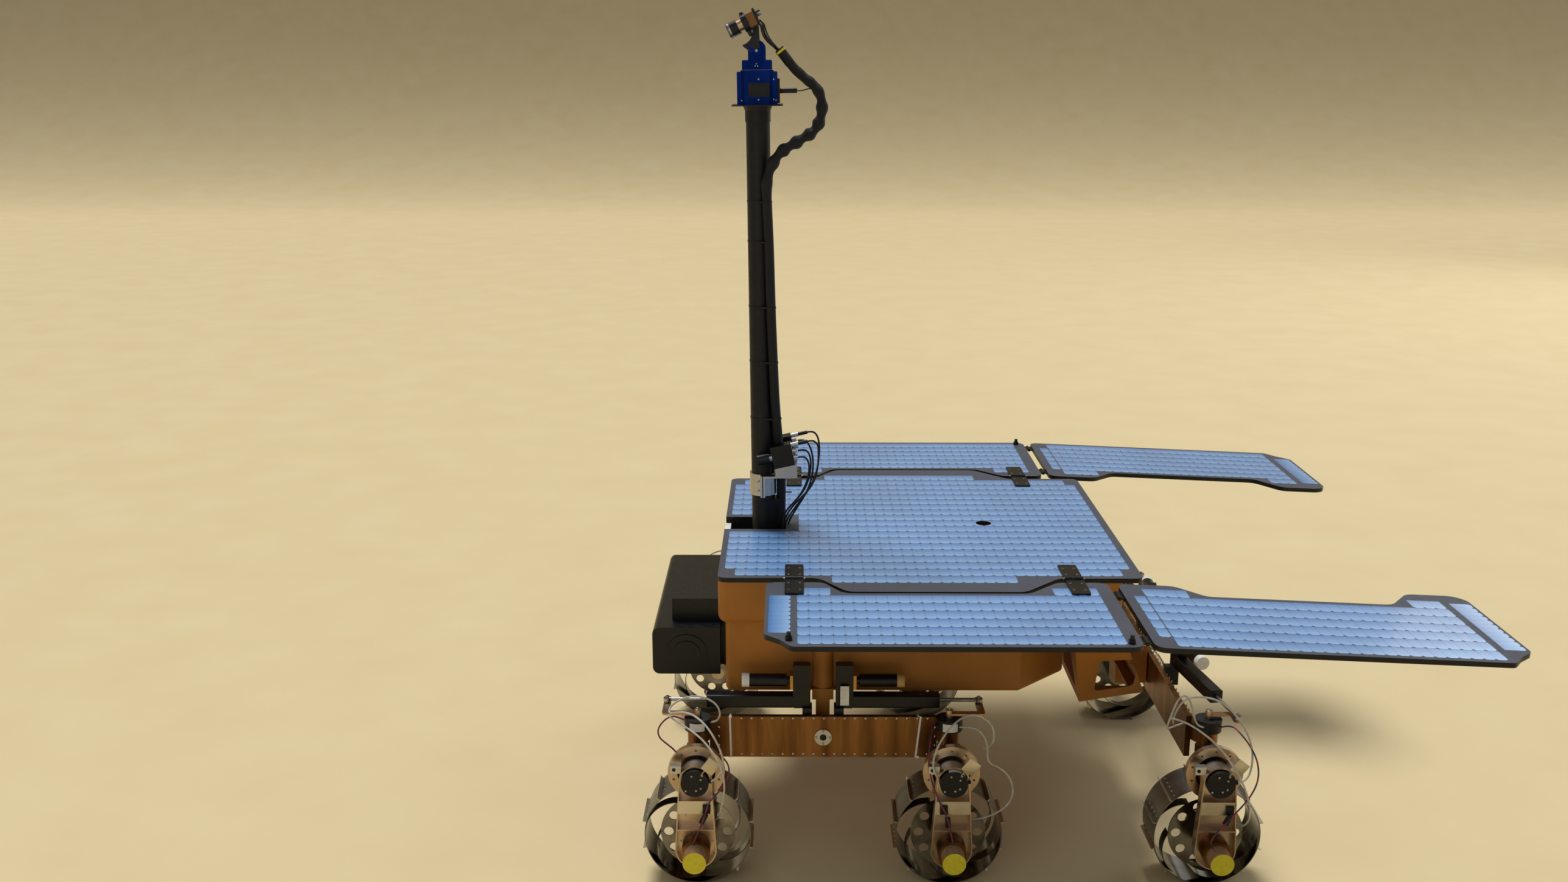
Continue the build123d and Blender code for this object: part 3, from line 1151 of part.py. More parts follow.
def build():
    """Make every node and write it."""
    save("body_shell", body_shell())
    save("deck_panel", deck_panel())
    save("drill_box", drill_box())
    save("mast_tube", mast())
    save("mast_clamp", *mast_clamp())
    save("mast_cameras", *mast_cameras())
    save("head_plate", head_plate())
    save("pan_unit_base", pan_base())
    save("pan_yoke", pan_yoke())
    save("tilt_bracket", tilt_bracket())
    save("head_cameras", *head_cameras())
    save("rear_bogie_bracket", rear_bracket())
    save("bogie_posts", *left_and_right(bogie_post()))
    save("cable_head_sleeve", sleeve_loop())
    save("cable_mast_sleeve", mast_sleeve())
    save("cable_camera_lead", camera_lead())

    leaves = [deck_hinge_leaf(x, -1) for x in HINGE_X]
    save("deck_hinge_leaves", *leaves, *[mirror(leaf, about=Plane.XZ) for leaf in leaves])
    side_leaves = [deck_hinge_leaf(x, 1) for x in HINGE_X] + [wing_hinge_leaf(y, False) for y in WING_HINGE_Y]
    wing_leaves = [drooped(wing_hinge_leaf(y, True)) for y in WING_HINGE_Y]
    knobs = [thumb_knob(x, y) for x, y in KNOB_SPOTS]
    for name, pieces in (
        ("side_panel", [side_panel()]),
        ("side_hinges", side_leaves),
        ("side_knobs", knobs),
        ("wing", [drooped(wing_panel())]),
        ("wing_hinges", wing_leaves),
        ("bogie_beam", [side_beam()]),
        ("steer_drives", side_drives()),
    ):
        save(name + "_left", *pieces)
        save(name + "_right", *[mirror(piece, about=Plane.XZ) for piece in pieces])
    save("rear_bogie_beam", rear_beam())
    save("steer_drives_rear", *left_and_right(rear_drive()))

    wheel_shape = wheel()
    leg = walking_leg()
    housings = {}
    rods = {
        "front": Pos(PIVOT_X, ROD_LINE_Y, 0) * actuator_rod(SIDE_REACH, False),
        "middle": Pos(PIVOT_X, ROD_LINE_Y, 0) * actuator_rod(SIDE_REACH, True),
        "rear": rear_drive_place() * actuator_rod(REAR_REACH, False),
    }
    for name, x, eye, elbow, arm in STATIONS:
        axis = Pos(x, TRACK_HALF, 0)
        housings[name] = axis * steering_housing(arm)
        pieces = {
            "steer_knuckle_": axis * steering_knuckle(eye, elbow),
            "wheel_leg_": axis * leg,
            "wheel_": axis * Pos(0, 0, HUB_Z) * wheel_shape,
            "steer_rod_": rods[name],
        }
        for prefix, piece in pieces.items():
            for suffix, shape in zip(("_left", "_right"), left_and_right(piece)):
                save(prefix + name + suffix, shape)
    front, middle = housings["front"], housings["middle"]
    save("steer_housings_left", front, middle)
    save("steer_housings_right", mirror(front, about=Plane.XZ), mirror(middle, about=Plane.XZ))
    save("steer_housings_rear", *left_and_right(housings["rear"]))


build()
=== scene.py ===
import math

import bmesh
import bpy
from mathutils import Matrix, Vector


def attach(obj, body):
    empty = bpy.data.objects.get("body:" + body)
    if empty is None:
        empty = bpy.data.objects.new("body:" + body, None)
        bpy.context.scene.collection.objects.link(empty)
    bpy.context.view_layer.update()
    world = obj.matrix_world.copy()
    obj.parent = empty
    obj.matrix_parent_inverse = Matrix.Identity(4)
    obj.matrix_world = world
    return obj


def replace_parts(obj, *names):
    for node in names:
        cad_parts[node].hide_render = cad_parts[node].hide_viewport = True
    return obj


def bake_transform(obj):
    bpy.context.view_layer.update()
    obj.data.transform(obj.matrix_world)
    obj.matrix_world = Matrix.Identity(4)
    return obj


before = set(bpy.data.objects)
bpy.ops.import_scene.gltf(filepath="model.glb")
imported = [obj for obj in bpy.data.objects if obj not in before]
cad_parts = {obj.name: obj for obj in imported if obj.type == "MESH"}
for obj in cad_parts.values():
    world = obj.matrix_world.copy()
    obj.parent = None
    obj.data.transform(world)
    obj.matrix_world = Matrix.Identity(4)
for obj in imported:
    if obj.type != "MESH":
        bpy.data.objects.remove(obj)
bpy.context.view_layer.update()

bl_info = {
    "name": "Planetary rover finishes",
    "version": (1, 0, 0),
    "blender": (4, 5, 0),
    "location": "3D Viewport > Sidebar > Rover",
    "description": "Solar cells, fasteners, cables, labels and finishes for a planetary rover",
    "category": "Object",
}

MM = 0.001
# Two places nearer than this, in metres, count as the same
TINY = 1e-6

# Places and sizes of the CAD parts, in millimetres and degrees
SIDES = (("left", 1), ("right", -1))
STATIONS = (("front", 869.0), ("middle", 241.0), ("rear", -405.0))
TRACK = 490.0
WALK_Z = 320.0
HUB_Z = 137.9
WALK_DRUM_R = 34.0
ENCODER_R = 33.2
DECK_TOP = 784.0
HINGES_X = (628.5, -56.0)
WING_AXIS = (-145.5, 0.0, 778.0)
WING_DROOP = 2.5
# Outer face of a side beam, its pivot's x and z, and the heights of its two long rivet rows
BEAM_FACE = 466.0
PIVOT = (555.0, 365.0)
RIVET_ROWS = (415.5, 318.5)
# Place of the mast's axis at its foot and its lean forward, and the x and z that the head tilts about
MAST_X = 711.5
MAST_FOOT = 716.0
MAST_LEAN = 0.6
TILT_AXIS = (725.6, 2043.4)

# Thickness of a cell, and the air under it
CELL_T = 0.3
CELL_LIFT = 0.1
# Turns a bar's own Z across the rover
ACROSS = (math.radians(90), 0, 0)


# Sizes and colours that a user would change

def number(name, note, default, **more):
    """A number with its label and tooltip."""
    return bpy.props.FloatProperty(name=name, description=note, default=default, **more)


def tone(name, part, default):
    """A colour given as an sRGB hex value."""
    return bpy.props.StringProperty(name=name, description=part + " colour as an sRGB hex value", default=default)


class RoverPanelSettings(bpy.types.PropertyGroup):
    pitch_x: number("Cell pitch across", "Distance between cell columns, in millimetres", 26.72)
    pitch_y: number("Cell pitch along", "Distance between cell rows, in millimetres", 51.4)
    gap_x: number("Column gap", "Bare line between two columns, in millimetres", 0.4)
    gap_y: number("Row gap", "Bare line between two rows, in millimetres", 1.0)
    crop: number("Cropped corner", "Side of each cell's cropped corner, in millimetres", 5.5)
    cell: tone("Cell colour", "Cell", "6a97cf")
    border: tone("Border colour", "Border", "484b56")


class RoverFinishSettings(bpy.types.PropertyGroup):
    ochre: tone("Body skin", "Body", "a96c1e")
    copper: tone("Beam sheet", "Riveted beam", "94683c")
    gold: tone("Anodised parts", "Leg and ring", "c8b39b")
    blue: tone("Pan unit", "Pan and tilt unit", "102a6e")
    yellow: tone("Drive cap", "Drive cap", "d8c92c")


class RoverFastenerSettings(bpy.types.PropertyGroup):
    rivet: number("Rivet radius", "Radius of a beam rivet's head, in millimetres", 3.1)
    strip_rivet: number("Strip rivet radius", "Radius of a rivet on the wheel strips, in millimetres", 2.0)
    bolt: number("Hinge bolt radius", "Radius of a hinge bolt's head, in millimetres", 3.2)
    rivet_pitch: number("Rivet pitch", "Distance between two rivets of a row, in millimetres", 26.07)


class RoverCableSettings(bpy.types.PropertyGroup):
    signal: number("Signal cable", "Diameter of the pale encoder cables", 0.0048, unit="LENGTH")
    pair: number("Twisted wires", "Diameter of the twisted red and blue wires", 0.004, unit="LENGTH")
    camera: number("Camera lead", "Diameter of a camera's black lead", 0.005, unit="LENGTH")
    sleeve: number("Braided sleeve", "Diameter of the sleeve from head to mast", 0.025, unit="LENGTH")


class RoverStageSettings(bpy.types.PropertyGroup):
    floor: tone("Floor colour", "Floor", "d6c090")
    key: number("Key light", "Strength of the wide overhead light", 2.3)
    fill: number("Fill lamp", "Power of the soft lamp beside the camera", 22.0, unit="POWER")
    lens: number("Lens", "Focal length that gives the photograph's view, in millimetres", 34.24)


# Making and shaping pieces

# The rover's materials by name, filled when the finishes are made
FINISH = {}


def deselect():
    bpy.ops.object.select_all(action="DESELECT")


def activate(piece):
    deselect()
    piece.select_set(True)
    bpy.context.view_layer.objects.active = piece


def edit(piece, mode="FACE"):
    """Enter edit mode on one piece with nothing selected."""
    activate(piece)
    bpy.ops.object.mode_set(mode="EDIT")
    bpy.ops.mesh.select_mode(type=mode)
    bpy.ops.mesh.select_all(action="DESELECT")


def leave():
    bpy.ops.object.mode_set(mode="OBJECT")


def pick_faces(piece, test):
    """Select the faces whose centre and normal pass the test."""
    mesh = bmesh.from_edit_mesh(piece.data)
    for face in mesh.faces:
        face.select_set(bool(test(face.calc_center_median(), face.normal)))
    mesh.select_flush_mode()
    bmesh.update_edit_mesh(piece.data)


def pick_edges(piece, test):
    """Select the edges whose two ends pass the test."""
    mesh = bmesh.from_edit_mesh(piece.data)
    for item in mesh.edges:
        item.select_set(bool(test(item.verts[0].co, item.verts[1].co)))
    bmesh.update_edit_mesh(piece.data)


def join(*pieces):
    """Several pieces made one, their places put into its mesh."""
    deselect()
    for piece in pieces:
        piece.select_set(True)
    bpy.context.view_layer.objects.active = pieces[0]
    bpy.ops.object.transform_apply(location=True, rotation=True, scale=True)
    if len(pieces) > 1:
        bpy.ops.object.join()
    return pieces[0]


def settle(piece, name, finish):
    """Name a piece and give it its finish."""
    piece.name = name
    piece.data.name = name
    piece.data.materials.clear()
    piece.data.materials.append(FINISH[finish])
    return piece


def carry(piece, body):
    """Let a piece ride on a body."""
    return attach(piece, body)


def fit(name, finish, body, slot, *pieces):
    """One piece made of several, named, finished and carried by a body."""
    return carry(settle(join(*pieces), name, finish), body)


def fasten(name, body, model, places):
    """One steel piece made of copies of a model, and the model is removed."""
    made = []
    for place in places:
        piece = bpy.data.objects.new(name, model.data.copy())
        bpy.context.collection.objects.link(piece)
        piece.data.transform(place)
        made.append(piece)
    bpy.data.objects.remove(model)
    return fit(name, "steel", body, "steel", *made)


def block(size, place=(0, 0, 0), turn=(0, 0, 0), soft=0.0, steps=2):
    """A block with softened edges, sizes in millimetres."""
    bpy.ops.mesh.primitive_cube_add(size=MM, location=Vector(place) * MM, rotation=turn)
    piece = bpy.context.object
    piece.scale = size
    activate(piece)
    bpy.ops.object.transform_apply(location=False, rotation=False, scale=True)
    if soft:
        edit(piece, "EDGE")
        bpy.ops.mesh.select_all(action="SELECT")
        bpy.ops.mesh.bevel(offset=soft * MM, segments=steps)
        leave()
    return piece


def round_bar(radius, length, place=(0, 0, 0), turn=(0, 0, 0), soft=0.0, sides=24):
    """A round bar along its own Z with bevelled rims."""
    bpy.ops.mesh.primitive_cylinder_add(
        vertices=sides, radius=radius * MM, depth=length * MM, location=Vector(place) * MM, rotation=turn,
    )
    piece = bpy.context.object
    edit(piece)
    half = length / 2 * MM
    on_rim = lambda v: abs(abs(v.z) - half) < TINY and math.hypot(v.x, v.y) > 0.98 * radius * MM
    if soft:
        bpy.ops.mesh.select_mode(type="EDGE")
        pick_edges(piece, lambda a, b: on_rim(a) and abs(a.z - b.z) < TINY)
        bpy.ops.mesh.bevel(offset=soft * MM, segments=2)
    leave()
    return piece


def at(x, y, z, along=(0, 0, 1)):
    """The place of a copy whose own Z points along a direction, in millimetres."""
    turn = Vector((0, 0, 1)).rotation_difference(Vector(along)).to_matrix().to_4x4()
    return Matrix.Translation(Vector((x, y, z)) * MM) @ turn


def smooth(piece, angle=40):
    activate(piece)
    bpy.ops.object.shade_smooth_by_angle(angle=math.radians(angle))
    return piece


def off_axis(spot, x, y, z, pitch):
    """Distance along and away from a pair of lenses' axes, from a point on them, in millimetres."""
    lean = math.radians(pitch)
    along = (spot.x - x) * math.cos(lean) - (spot.z - z) * math.sin(lean)
    across = (spot.x - x) * math.sin(lean) + (spot.z - z) * math.cos(lean)
    return along, math.hypot(across, abs(spot.y) - y)


def paint(node, first, *others):
    """Give a CAD node its finishes: the first everywhere, each other one on the faces that pass its test."""
    piece = bpy.data.objects[node]
    piece.data.materials.clear()
    piece.data.materials.append(FINISH[first])
    for number, (finish, test) in enumerate(others, 1):
        piece.data.materials.append(FINISH[finish])
        for face in piece.data.polygons:
            if test(Vector(face.center) / MM, face.normal):
                face.material_index = number


# Materials

def colour(code):
    """An sRGB hex value as linear red, green, blue and alpha."""
    parts = [int(code[n:n + 2], 16) / 255 for n in (0, 2, 4)]
    return [p / 12.92 if p <= 0.04045 else ((p + 0.055) / 1.055) ** 2.4 for p in parts] + [1.0]


def add(tree, kind, settings=None, links=None):
    """Add a node: settings are its own or its inputs' values, links give an input its source socket."""
    made = tree.nodes.new("ShaderNode" + kind)
    for key, value in (settings or {}).items():
        if hasattr(made, key):
            setattr(made, key, value)
        else:
            made.inputs[key].default_value = value
    for key, source in (links or {}).items():
        tree.links.new(source, made.inputs[key])
    return made


def start(name, **values):
    """A material, its tree, its shader with the constant values set, and its coordinates."""
    material = bpy.data.materials.new(name)
    material.use_nodes = True
    tree = material.node_tree
    shader = tree.nodes["Principled BSDF"]
    for key, value in values.items():
        shader.inputs[key.replace("_", " ")].default_value = value
    return material, tree, shader, add(tree, "TexCoord").outputs


def feed(shader, **sources):
    """Link sources to the shader's inputs, whose names have _ for a space."""
    for key, source in sources.items():
        shader.id_data.links.new(source, shader.inputs[key.replace("_", " ")])


def sums(tree, operation, *terms):
    """The result of one maths node on sockets and numbers."""
    made = add(tree, "Math", {"operation": operation})
    for number, term in enumerate(terms):
        if isinstance(term, float):
            made.inputs[number].default_value = term
        else:
            tree.links.new(term, made.inputs[number])
    return made.outputs[0]


def varied(tree, source, noise_scale, low, high):
    """Noise on a coordinate, mapped between two values."""
    noise = add(tree, "TexNoise", {"Scale": noise_scale, "Detail": 4.0}, {"Vector": source})
    return spread(tree, noise.outputs["Fac"], low, high)


def spread(tree, source, low, high):
    """The middle of a noise's range, mapped between two values."""
    limits = {"From Min": 0.3, "From Max": 0.7, "To Min": low, "To Max": high}
    return add(tree, "MapRange", limits, {"Value": source}).outputs["Result"]


def two_tone(tree, factor, first, second):
    """Two colours mixed by a factor."""
    mix = add(tree, "Mix", {"data_type": "RGBA"}, {"Factor": factor})
    mix.inputs["A"].default_value = colour(first)
    mix.inputs["B"].default_value = colour(second)
    return mix.outputs["Result"]


def bump(tree, shader, height, distance, strength):
    made = add(tree, "Bump", {"Distance": distance, "Strength": strength}, {"Height": height})
    feed(shader, Normal=made.outputs["Normal"])


def coat(name, tone, shade, patch, wear, low, high, grain=None, **values):
    """Slow patches of tone, a roughness that wanders, and a fine grain where one is given."""
    material, tree, shader, spots = start(name, Metallic=0.0, **values)
    place = spots["Object"]
    feed(shader, Base_Color=two_tone(tree, varied(tree, place, patch, 0.0, 1.0), tone, shade))
    feed(shader, Roughness=varied(tree, place, wear, low, high))
    if grain:
        scale, detail, depth, strength = grain
        noise = add(tree, "TexNoise", {"Scale": scale, "Detail": detail}, {"Vector": place})
        bump(tree, shader, noise.outputs["Fac"], depth, strength)
    return material


def matt_coat(name, tone, shade):
    """Painted foil over panels: soft, matt, with slow waves and a fine grain."""
    return coat(name, tone, shade, 6.0, 40.0, 0.5, 0.66, (700.0, 3.0, 0.0006, 0.25), IOR=1.45)


def satin_black(name, tone, rough):
    """Powder coated or anodised black metal: a low sheen with a fine orange-peel grain."""
    peel = (900.0, 2.0, 0.0003, 0.3)
    return coat(name, tone, "080808", 18.0, 60.0, rough - 0.05, rough + 0.08, peel, IOR=1.5, Specular_IOR_Level=0.34)


def plain_plastic(name, tone, shade, rough):
    """Moulded plastic or a printed label: even colour with a faint mottle."""
    return coat(name, tone, shade, 90.0, 300.0, rough - 0.05, rough + 0.05, IOR=1.46)


def brushed_metal(
    name, tone, shade, rough, stretch=(1.0, 1.0, 12.0), fine=420.0, patch=9.0, sheen_streak=(1.0, 1.0, 1.0),
):
    """Machined or rolled sheet metal: fine lines one way, with slow blotches of tone, which a stretched streak scale
    draws out into bands of painted sheen.
    """
    material, tree, shader, spots = start(name, Metallic=1.0)
    place = spots["Object"]
    pulled = add(tree, "Mapping", {"Scale": sheen_streak}, {"Vector": place})
    drift = varied(tree, pulled.outputs["Vector"], patch, 0.0, 1.0)
    feed(shader, Base_Color=two_tone(tree, drift, tone, shade))
    pulled = add(tree, "Mapping", {"Scale": stretch}, {"Vector": place})
    lines = add(tree, "TexNoise", {"Scale": fine, "Detail": 3.0}, {"Vector": pulled.outputs["Vector"]})
    feed(shader, Roughness=spread(tree, lines.outputs["Fac"], rough - 0.06, rough + 0.1))
    bump(tree, shader, lines.outputs["Fac"], 0.0002, 0.25)
    return material


def cover_glass(name, tone):
    """A solar cell under glass: blue, with painted shade along its far edge and a painted sheen growing paler towards
    its near edge, with fine grid lines across it.
    """
    material, tree, shader, spots = start(name, Metallic=0.0, IOR=1.5, Coat_Weight=0.6, Coat_Roughness=0.12)
    place = spots["Object"]
    parts = add(tree, "SeparateXYZ", {}, {"Vector": spots["UV"]})
    ramp = add(tree, "ValToRGB", {}, {"Fac": parts.outputs["Y"]})
    # Painted light across each cell: the dark stop at the far edge is painted shade, the pale stops towards the near
    # edge are a painted sheen
    shade_and_sheen_stops = ((0.0, "4a7cbc"), (0.25, tone), (0.65, "7fabdd"), (1.0, "93bdea"))
    for number, (position, code) in enumerate(shade_and_sheen_stops):
        stop = ramp.color_ramp.elements[number] if number < 2 else ramp.color_ramp.elements.new(position)
        stop.position = position
        stop.color = colour(code)
    drift = varied(tree, place, 3.5, 0.86, 1.05)
    shaded = add(tree, "HueSaturation", {}, {"Color": ramp.outputs["Color"], "Value": drift})
    saw = sums(tree, "FRACT", sums(tree, "MULTIPLY", parts.outputs["X"], 11.0))
    share = sums(tree, "MULTIPLY", sums(tree, "LESS_THAN", saw, 0.12), 0.12)
    mix = add(tree, "Mix", {"data_type": "RGBA"}, {"Factor": share, "A": shaded.outputs["Color"]})
    mix.inputs["B"].default_value = colour("dfe9f4")
    feed(shader, Base_Color=mix.outputs["Result"])
    feed(shader, Roughness=varied(tree, place, 30.0, 0.24, 0.36))
    return material


def braid(name):
    """Woven cable sleeve: crossed black threads with a dull sheen."""
    material, tree, shader, spots = start(name, Metallic=0.0, Roughness=0.62, IOR=1.45)
    place = spots["Object"]
    waves = []
    for tilt in (0.8, -0.8):
        turned = add(tree, "Mapping", {"Rotation": (tilt, tilt, 0.0)}, {"Vector": place})
        bands = {"Scale": 210.0, "bands_direction": "Z"}
        waves.append(add(tree, "TexWave", bands, {"Vector": turned.outputs["Vector"]}).outputs["Fac"])
    cross = sums(tree, "MULTIPLY", *waves)
    feed(shader, Base_Color=two_tone(tree, cross, "040404", "131314"))
    bump(tree, shader, cross, 0.0012, 0.6)
    return material


def twisted_wires(name):
    """Two thin wires, red and blue, twisted round each other."""
    material, tree, shader, spots = start(name, Metallic=0.0, Roughness=0.4, IOR=1.46)
    parts = add(tree, "SeparateXYZ", {}, {"Vector": spots["UV"]}).outputs
    turn = sums(tree, "FRACT", sums(tree, "MULTIPLY_ADD", parts["X"], 9.0, parts["Y"]))
    side = sums(tree, "GREATER_THAN", turn, 0.5)
    feed(shader, Base_Color=two_tone(tree, side, "8e1c24", "23304f"))
    return material


def finishes(settings, panels):
    """Every material of the rover, by the name that the other operators use."""
    return {
        "ochre": matt_coat("ochre_painted_foil", settings.ochre, "935c18"),
        "cell": cover_glass("solar_cell_glass", panels.cell),
        "border": matt_coat("panel_border_laminate", panels.border, "3f424c"),
        "black": satin_black("black_powder_coat", "040404", 0.34),
        "edge": satin_black("black_panel_edge", "060607", 0.45),
        "tube": satin_black("black_anodised_tube", "070504", 0.5),
        "blue": brushed_metal("blue_anodised_aluminium", settings.blue, "081a50", 0.3, (12.0, 12.0, 1.0)),
        "aluminium": brushed_metal("machined_aluminium", "c4c3c0", "a9a7a3", 0.3),
        "steel": brushed_metal("ground_steel", "b9b8b4", "8d8b86", 0.26, (1.0, 12.0, 1.0)),
        # The copper sheet's tone is stretched into vertical lighter and darker bands: painted sheen streaks
        "copper": brushed_metal(
            "copper_tone_sheet", settings.copper, "5b3b20", 0.36, (1.0, 1.0, 0.1), 160.0, 26.0, (1.0, 1.0, 0.1),
        ),
        "lever": brushed_metal("rose_gold_lever", "c0a183", "967355", 0.28, (8.0, 1.0, 1.0)),
        "gold": brushed_metal("gold_anodised_aluminium", settings.gold, "a98f74", 0.26, (8.0, 1.0, 1.0)),
        "pale_gold": brushed_metal("pale_gold_strip", "cfc6b2", "b3a78f", 0.34),
        "rim": brushed_metal("rolled_rim_steel", "87847e", "625f5a", 0.34, (1.0, 14.0, 1.0), 300.0, 14.0),
        "mirror": brushed_metal("polished_rim_inside", "55534f", "262523", 0.1, (1.0, 8.0, 1.0), 60.0, 22.0),
        "disc": brushed_metal("hub_disc_steel", "97928a", "5e5a54", 0.16, (1.0, 1.0, 1.0), 60.0, 20.0),
        "cream": plain_plastic("cream_cap", "b99557", "a5824a", 0.45),
        "brass": brushed_metal("brass_plate", "b98c4a", "9a7236", 0.35),
        "yellow": plain_plastic("yellow_cap", settings.yellow, "c9b920", 0.5),
        "white": plain_plastic("white_plastic", "e9e6df", "d9d5cc", 0.5),
        "label": plain_plastic("blank_label", "dedbd2", "c9c5bb", 0.4),
        "rubber": satin_black("black_rubber", "060607", 0.5),
        "braid": braid("braided_sleeve"),
        "signal": plain_plastic("pale_cable_jacket", "c9c5b8", "aaa596", 0.45),
        "pair": twisted_wires("twisted_pair"),
        "lead": satin_black("black_cable_jacket", "0b0b0c", 0.42),
        "clear": plain_plastic("translucent_neck", "a2815e", "8d6c4c", 0.25),
    }


# Cells on the panels

# Fields of cells on each panel: edge that its columns count from, first and last column, low edge and rows
DECK_FIELDS = (
    (268.6, -18, 20, 77.1, 6), (268.6, -18, 20, -385.5, 6), (268.6, -18, 13, -77.1, 3), (268.6, -17, 19, 385.5, 1),
    (268.6, -17, 19, -436.9, 1), (268.6, -7, 10, 436.9, 1), (268.6, -7, 10, -488.3, 1),
)
SIDE_FIELDS = ((381.6, -18, 9, 577.1, 6), (381.6, 6, 9, 525.7, 1), (381.6, -18, -14, 525.7, 1))
WING_FIELDS = (
    (-690.0, -9, 18, 572.0, 6), (-690.0, -9, -6, 519.5, 1), (-690.0, 14, 18, 519.5, 1), (-687.5, 18, 19, 572.0, 5),
)
WING_PITCH = 52.5
# Columns of cells turned a quarter: x, low edge and rows
SIDE_COLUMN = (637.0, 579.0, 9)
WING_COLUMN = (-1000.5, 531.0, 11)
# The deck's round port: x, y and radius, and the field it opens
DECK_PORT = (107.0, 0.0, 21.5)
PORT_FIELD = 2


def cell_sheet(x, y, pitch, size, turned=False):
    """A rectangular field of cells: x is its low edge and count, y the same."""
    width, depth = (pitch[1], pitch[0]) if turned else pitch
    piece = block((pitch[0] - size.gap_x, pitch[1] - size.gap_y, CELL_T))
    edit(piece, "EDGE")
    pick_edges(piece, lambda a, b: abs(a.x - b.x) < TINY and abs(a.y - b.y) < TINY and a.y > 0)
    bpy.ops.mesh.bevel(offset=size.crop * MM, segments=1)
    leave()
    layer = piece.data.uv_layers[0]
    for corner in piece.data.loops:
        spot = piece.data.vertices[corner.vertex_index].co
        layer.data[corner.index].uv = (spot.x / (pitch[0] * MM) + 0.5, spot.y / (pitch[1] * MM) + 0.5)
    if turned:
        piece.data.transform(Matrix.Rotation(math.radians(90), 4, "Z"))
    corner = Vector((x[0] + width / 2, y[0] + depth / 2, DECK_TOP + CELL_LIFT + CELL_T / 2)) * MM
    piece.data.transform(Matrix.Translation(corner))
    activate(piece)
    for step, count in (((width * MM, 0, 0), x[1]), ((0, depth * MM, 0), y[1])):
        if count > 1:
            repeat = piece.modifiers.new("repeat", "ARRAY")
            repeat.use_relative_offset = False
            repeat.use_constant_offset = True
            repeat.constant_offset_displace = step
            repeat.count = count
            bpy.ops.object.modifier_apply(modifier=repeat.name)
    return piece


def drill(piece, x, y, radius):
    """Cut a round hole through a sheet of cells."""
    cutter = round_bar(radius, 20, (x, y, DECK_TOP), sides=48)
    activate(piece)
    cut = piece.modifiers.new("hole", "BOOLEAN")
    cut.operation = "DIFFERENCE"
    cut.solver = "EXACT"
    cut.object = cutter
    bpy.ops.object.modifier_apply(modifier=cut.name)
    bpy.data.objects.remove(cutter)
    return piece


class RoverCells(bpy.types.Operator):
    """Lay the solar cells on deck, side panels and wings"""
    bl_idname = "rover.cells"
    bl_label = "Solar cells"

    def execute(self, context):
        size = context.scene.rover_panels
        deck = [self.field(size, size.pitch_y, 1, *spots) for spots in DECK_FIELDS]
        deck[PORT_FIELD] = drill(deck[PORT_FIELD], *DECK_PORT)
        fit("cells_deck", "cell", "chassis", "solar_cell", *deck)
        axis = Matrix.Translation(Vector(WING_AXIS) * MM)
        droop = axis @ Matrix.Rotation(math.radians(-WING_DROOP), 4, "Y") @ axis.inverted()
        for side, sign in SIDES:
            fields = [self.field(size, size.pitch_y, sign, *spots) for spots in SIDE_FIELDS]
            fields.append(self.column(size, sign, *SIDE_COLUMN))
            fit("cells_side_" + side, "cell", "side_fold_" + side, "solar_cell", *fields)
            fields = [self.field(size, WING_PITCH, sign, *spots) for spots in WING_FIELDS]
            fields.append(self.column(size, sign, *WING_COLUMN))
            for piece in fields:
                piece.data.transform(droop)
            fit("cells_wing_" + side, "cell", "wing_fold_" + side, "solar_cell", *fields)
        return {"FINISHED"}

    def field(self, size, pitch_y, sign, edge, first, last, low, rows):
        """Whole columns of cells, mirrored for the right side."""
        start_y = low if sign > 0 else -low - rows * pitch_y
        start_x = edge + first * size.pitch_x
        return cell_sheet((start_x, last - first), (start_y, rows), (size.pitch_x, pitch_y), size)

    def column(self, size, sign, x, low, rows):
        """One column of cells turned a quarter, at a panel's end."""
        start_y = low if sign > 0 else -low - rows * size.pitch_x
        return cell_sheet((x, 1), (start_y, rows), (size.pitch_x, size.pitch_y), size, True)


# Fasteners

# Screws of the pan unit and of the yoke: x, y, z and radius of the left one
PAN_SCREWS = (
    (720.5, 38.6, 1973, 2.2), (720.5, 38.6, 1922, 2.2), (682, 38.6, 1973, 1.8), (682, 38.6, 1923, 1.8),
    (763.5, 38.6, 1920, 1.8), (676, 38.6, 1921, 1.6),
)
YOKE_SCREWS = ((726, 38.3, 2011, 1.7), (729, 38.3, 2006, 1.7), (723, 38.3, 2005.5, 1.7), (725.6, 32.2, 2043.4, 3.4))


def rivet_head(radius, height):
    """A low domed rivet head, its foot at the origin."""
    piece = round_bar(radius, height, (0, 0, height / 2), sides=10)
    edit(piece)
    pick_faces(piece, lambda c, n: n.z > 0.9)
    bpy.ops.mesh.inset(thickness=radius * 0.42 * MM, depth=height * 0.45 * MM)
    leave()
    return smooth(join(piece), 60)


def socket_screw(radius, height):
    """A round screw head with a sunk hexagon, its foot at the origin."""
    piece = round_bar(radius, height, (0, 0, height / 2), sides=18, soft=radius * 0.12)
    edit(piece)
    pick_faces(piece, lambda c, n: n.z > 0.99 and abs(c.x) < TINY and abs(c.y) < TINY)
    bpy.ops.mesh.inset(thickness=radius * 0.42 * MM)
    bpy.ops.mesh.extrude_region_move(TRANSFORM_OT_translate={"value": (0, 0, -height * 0.5 * MM)})
    leave()
    return smooth(join(piece), 35)


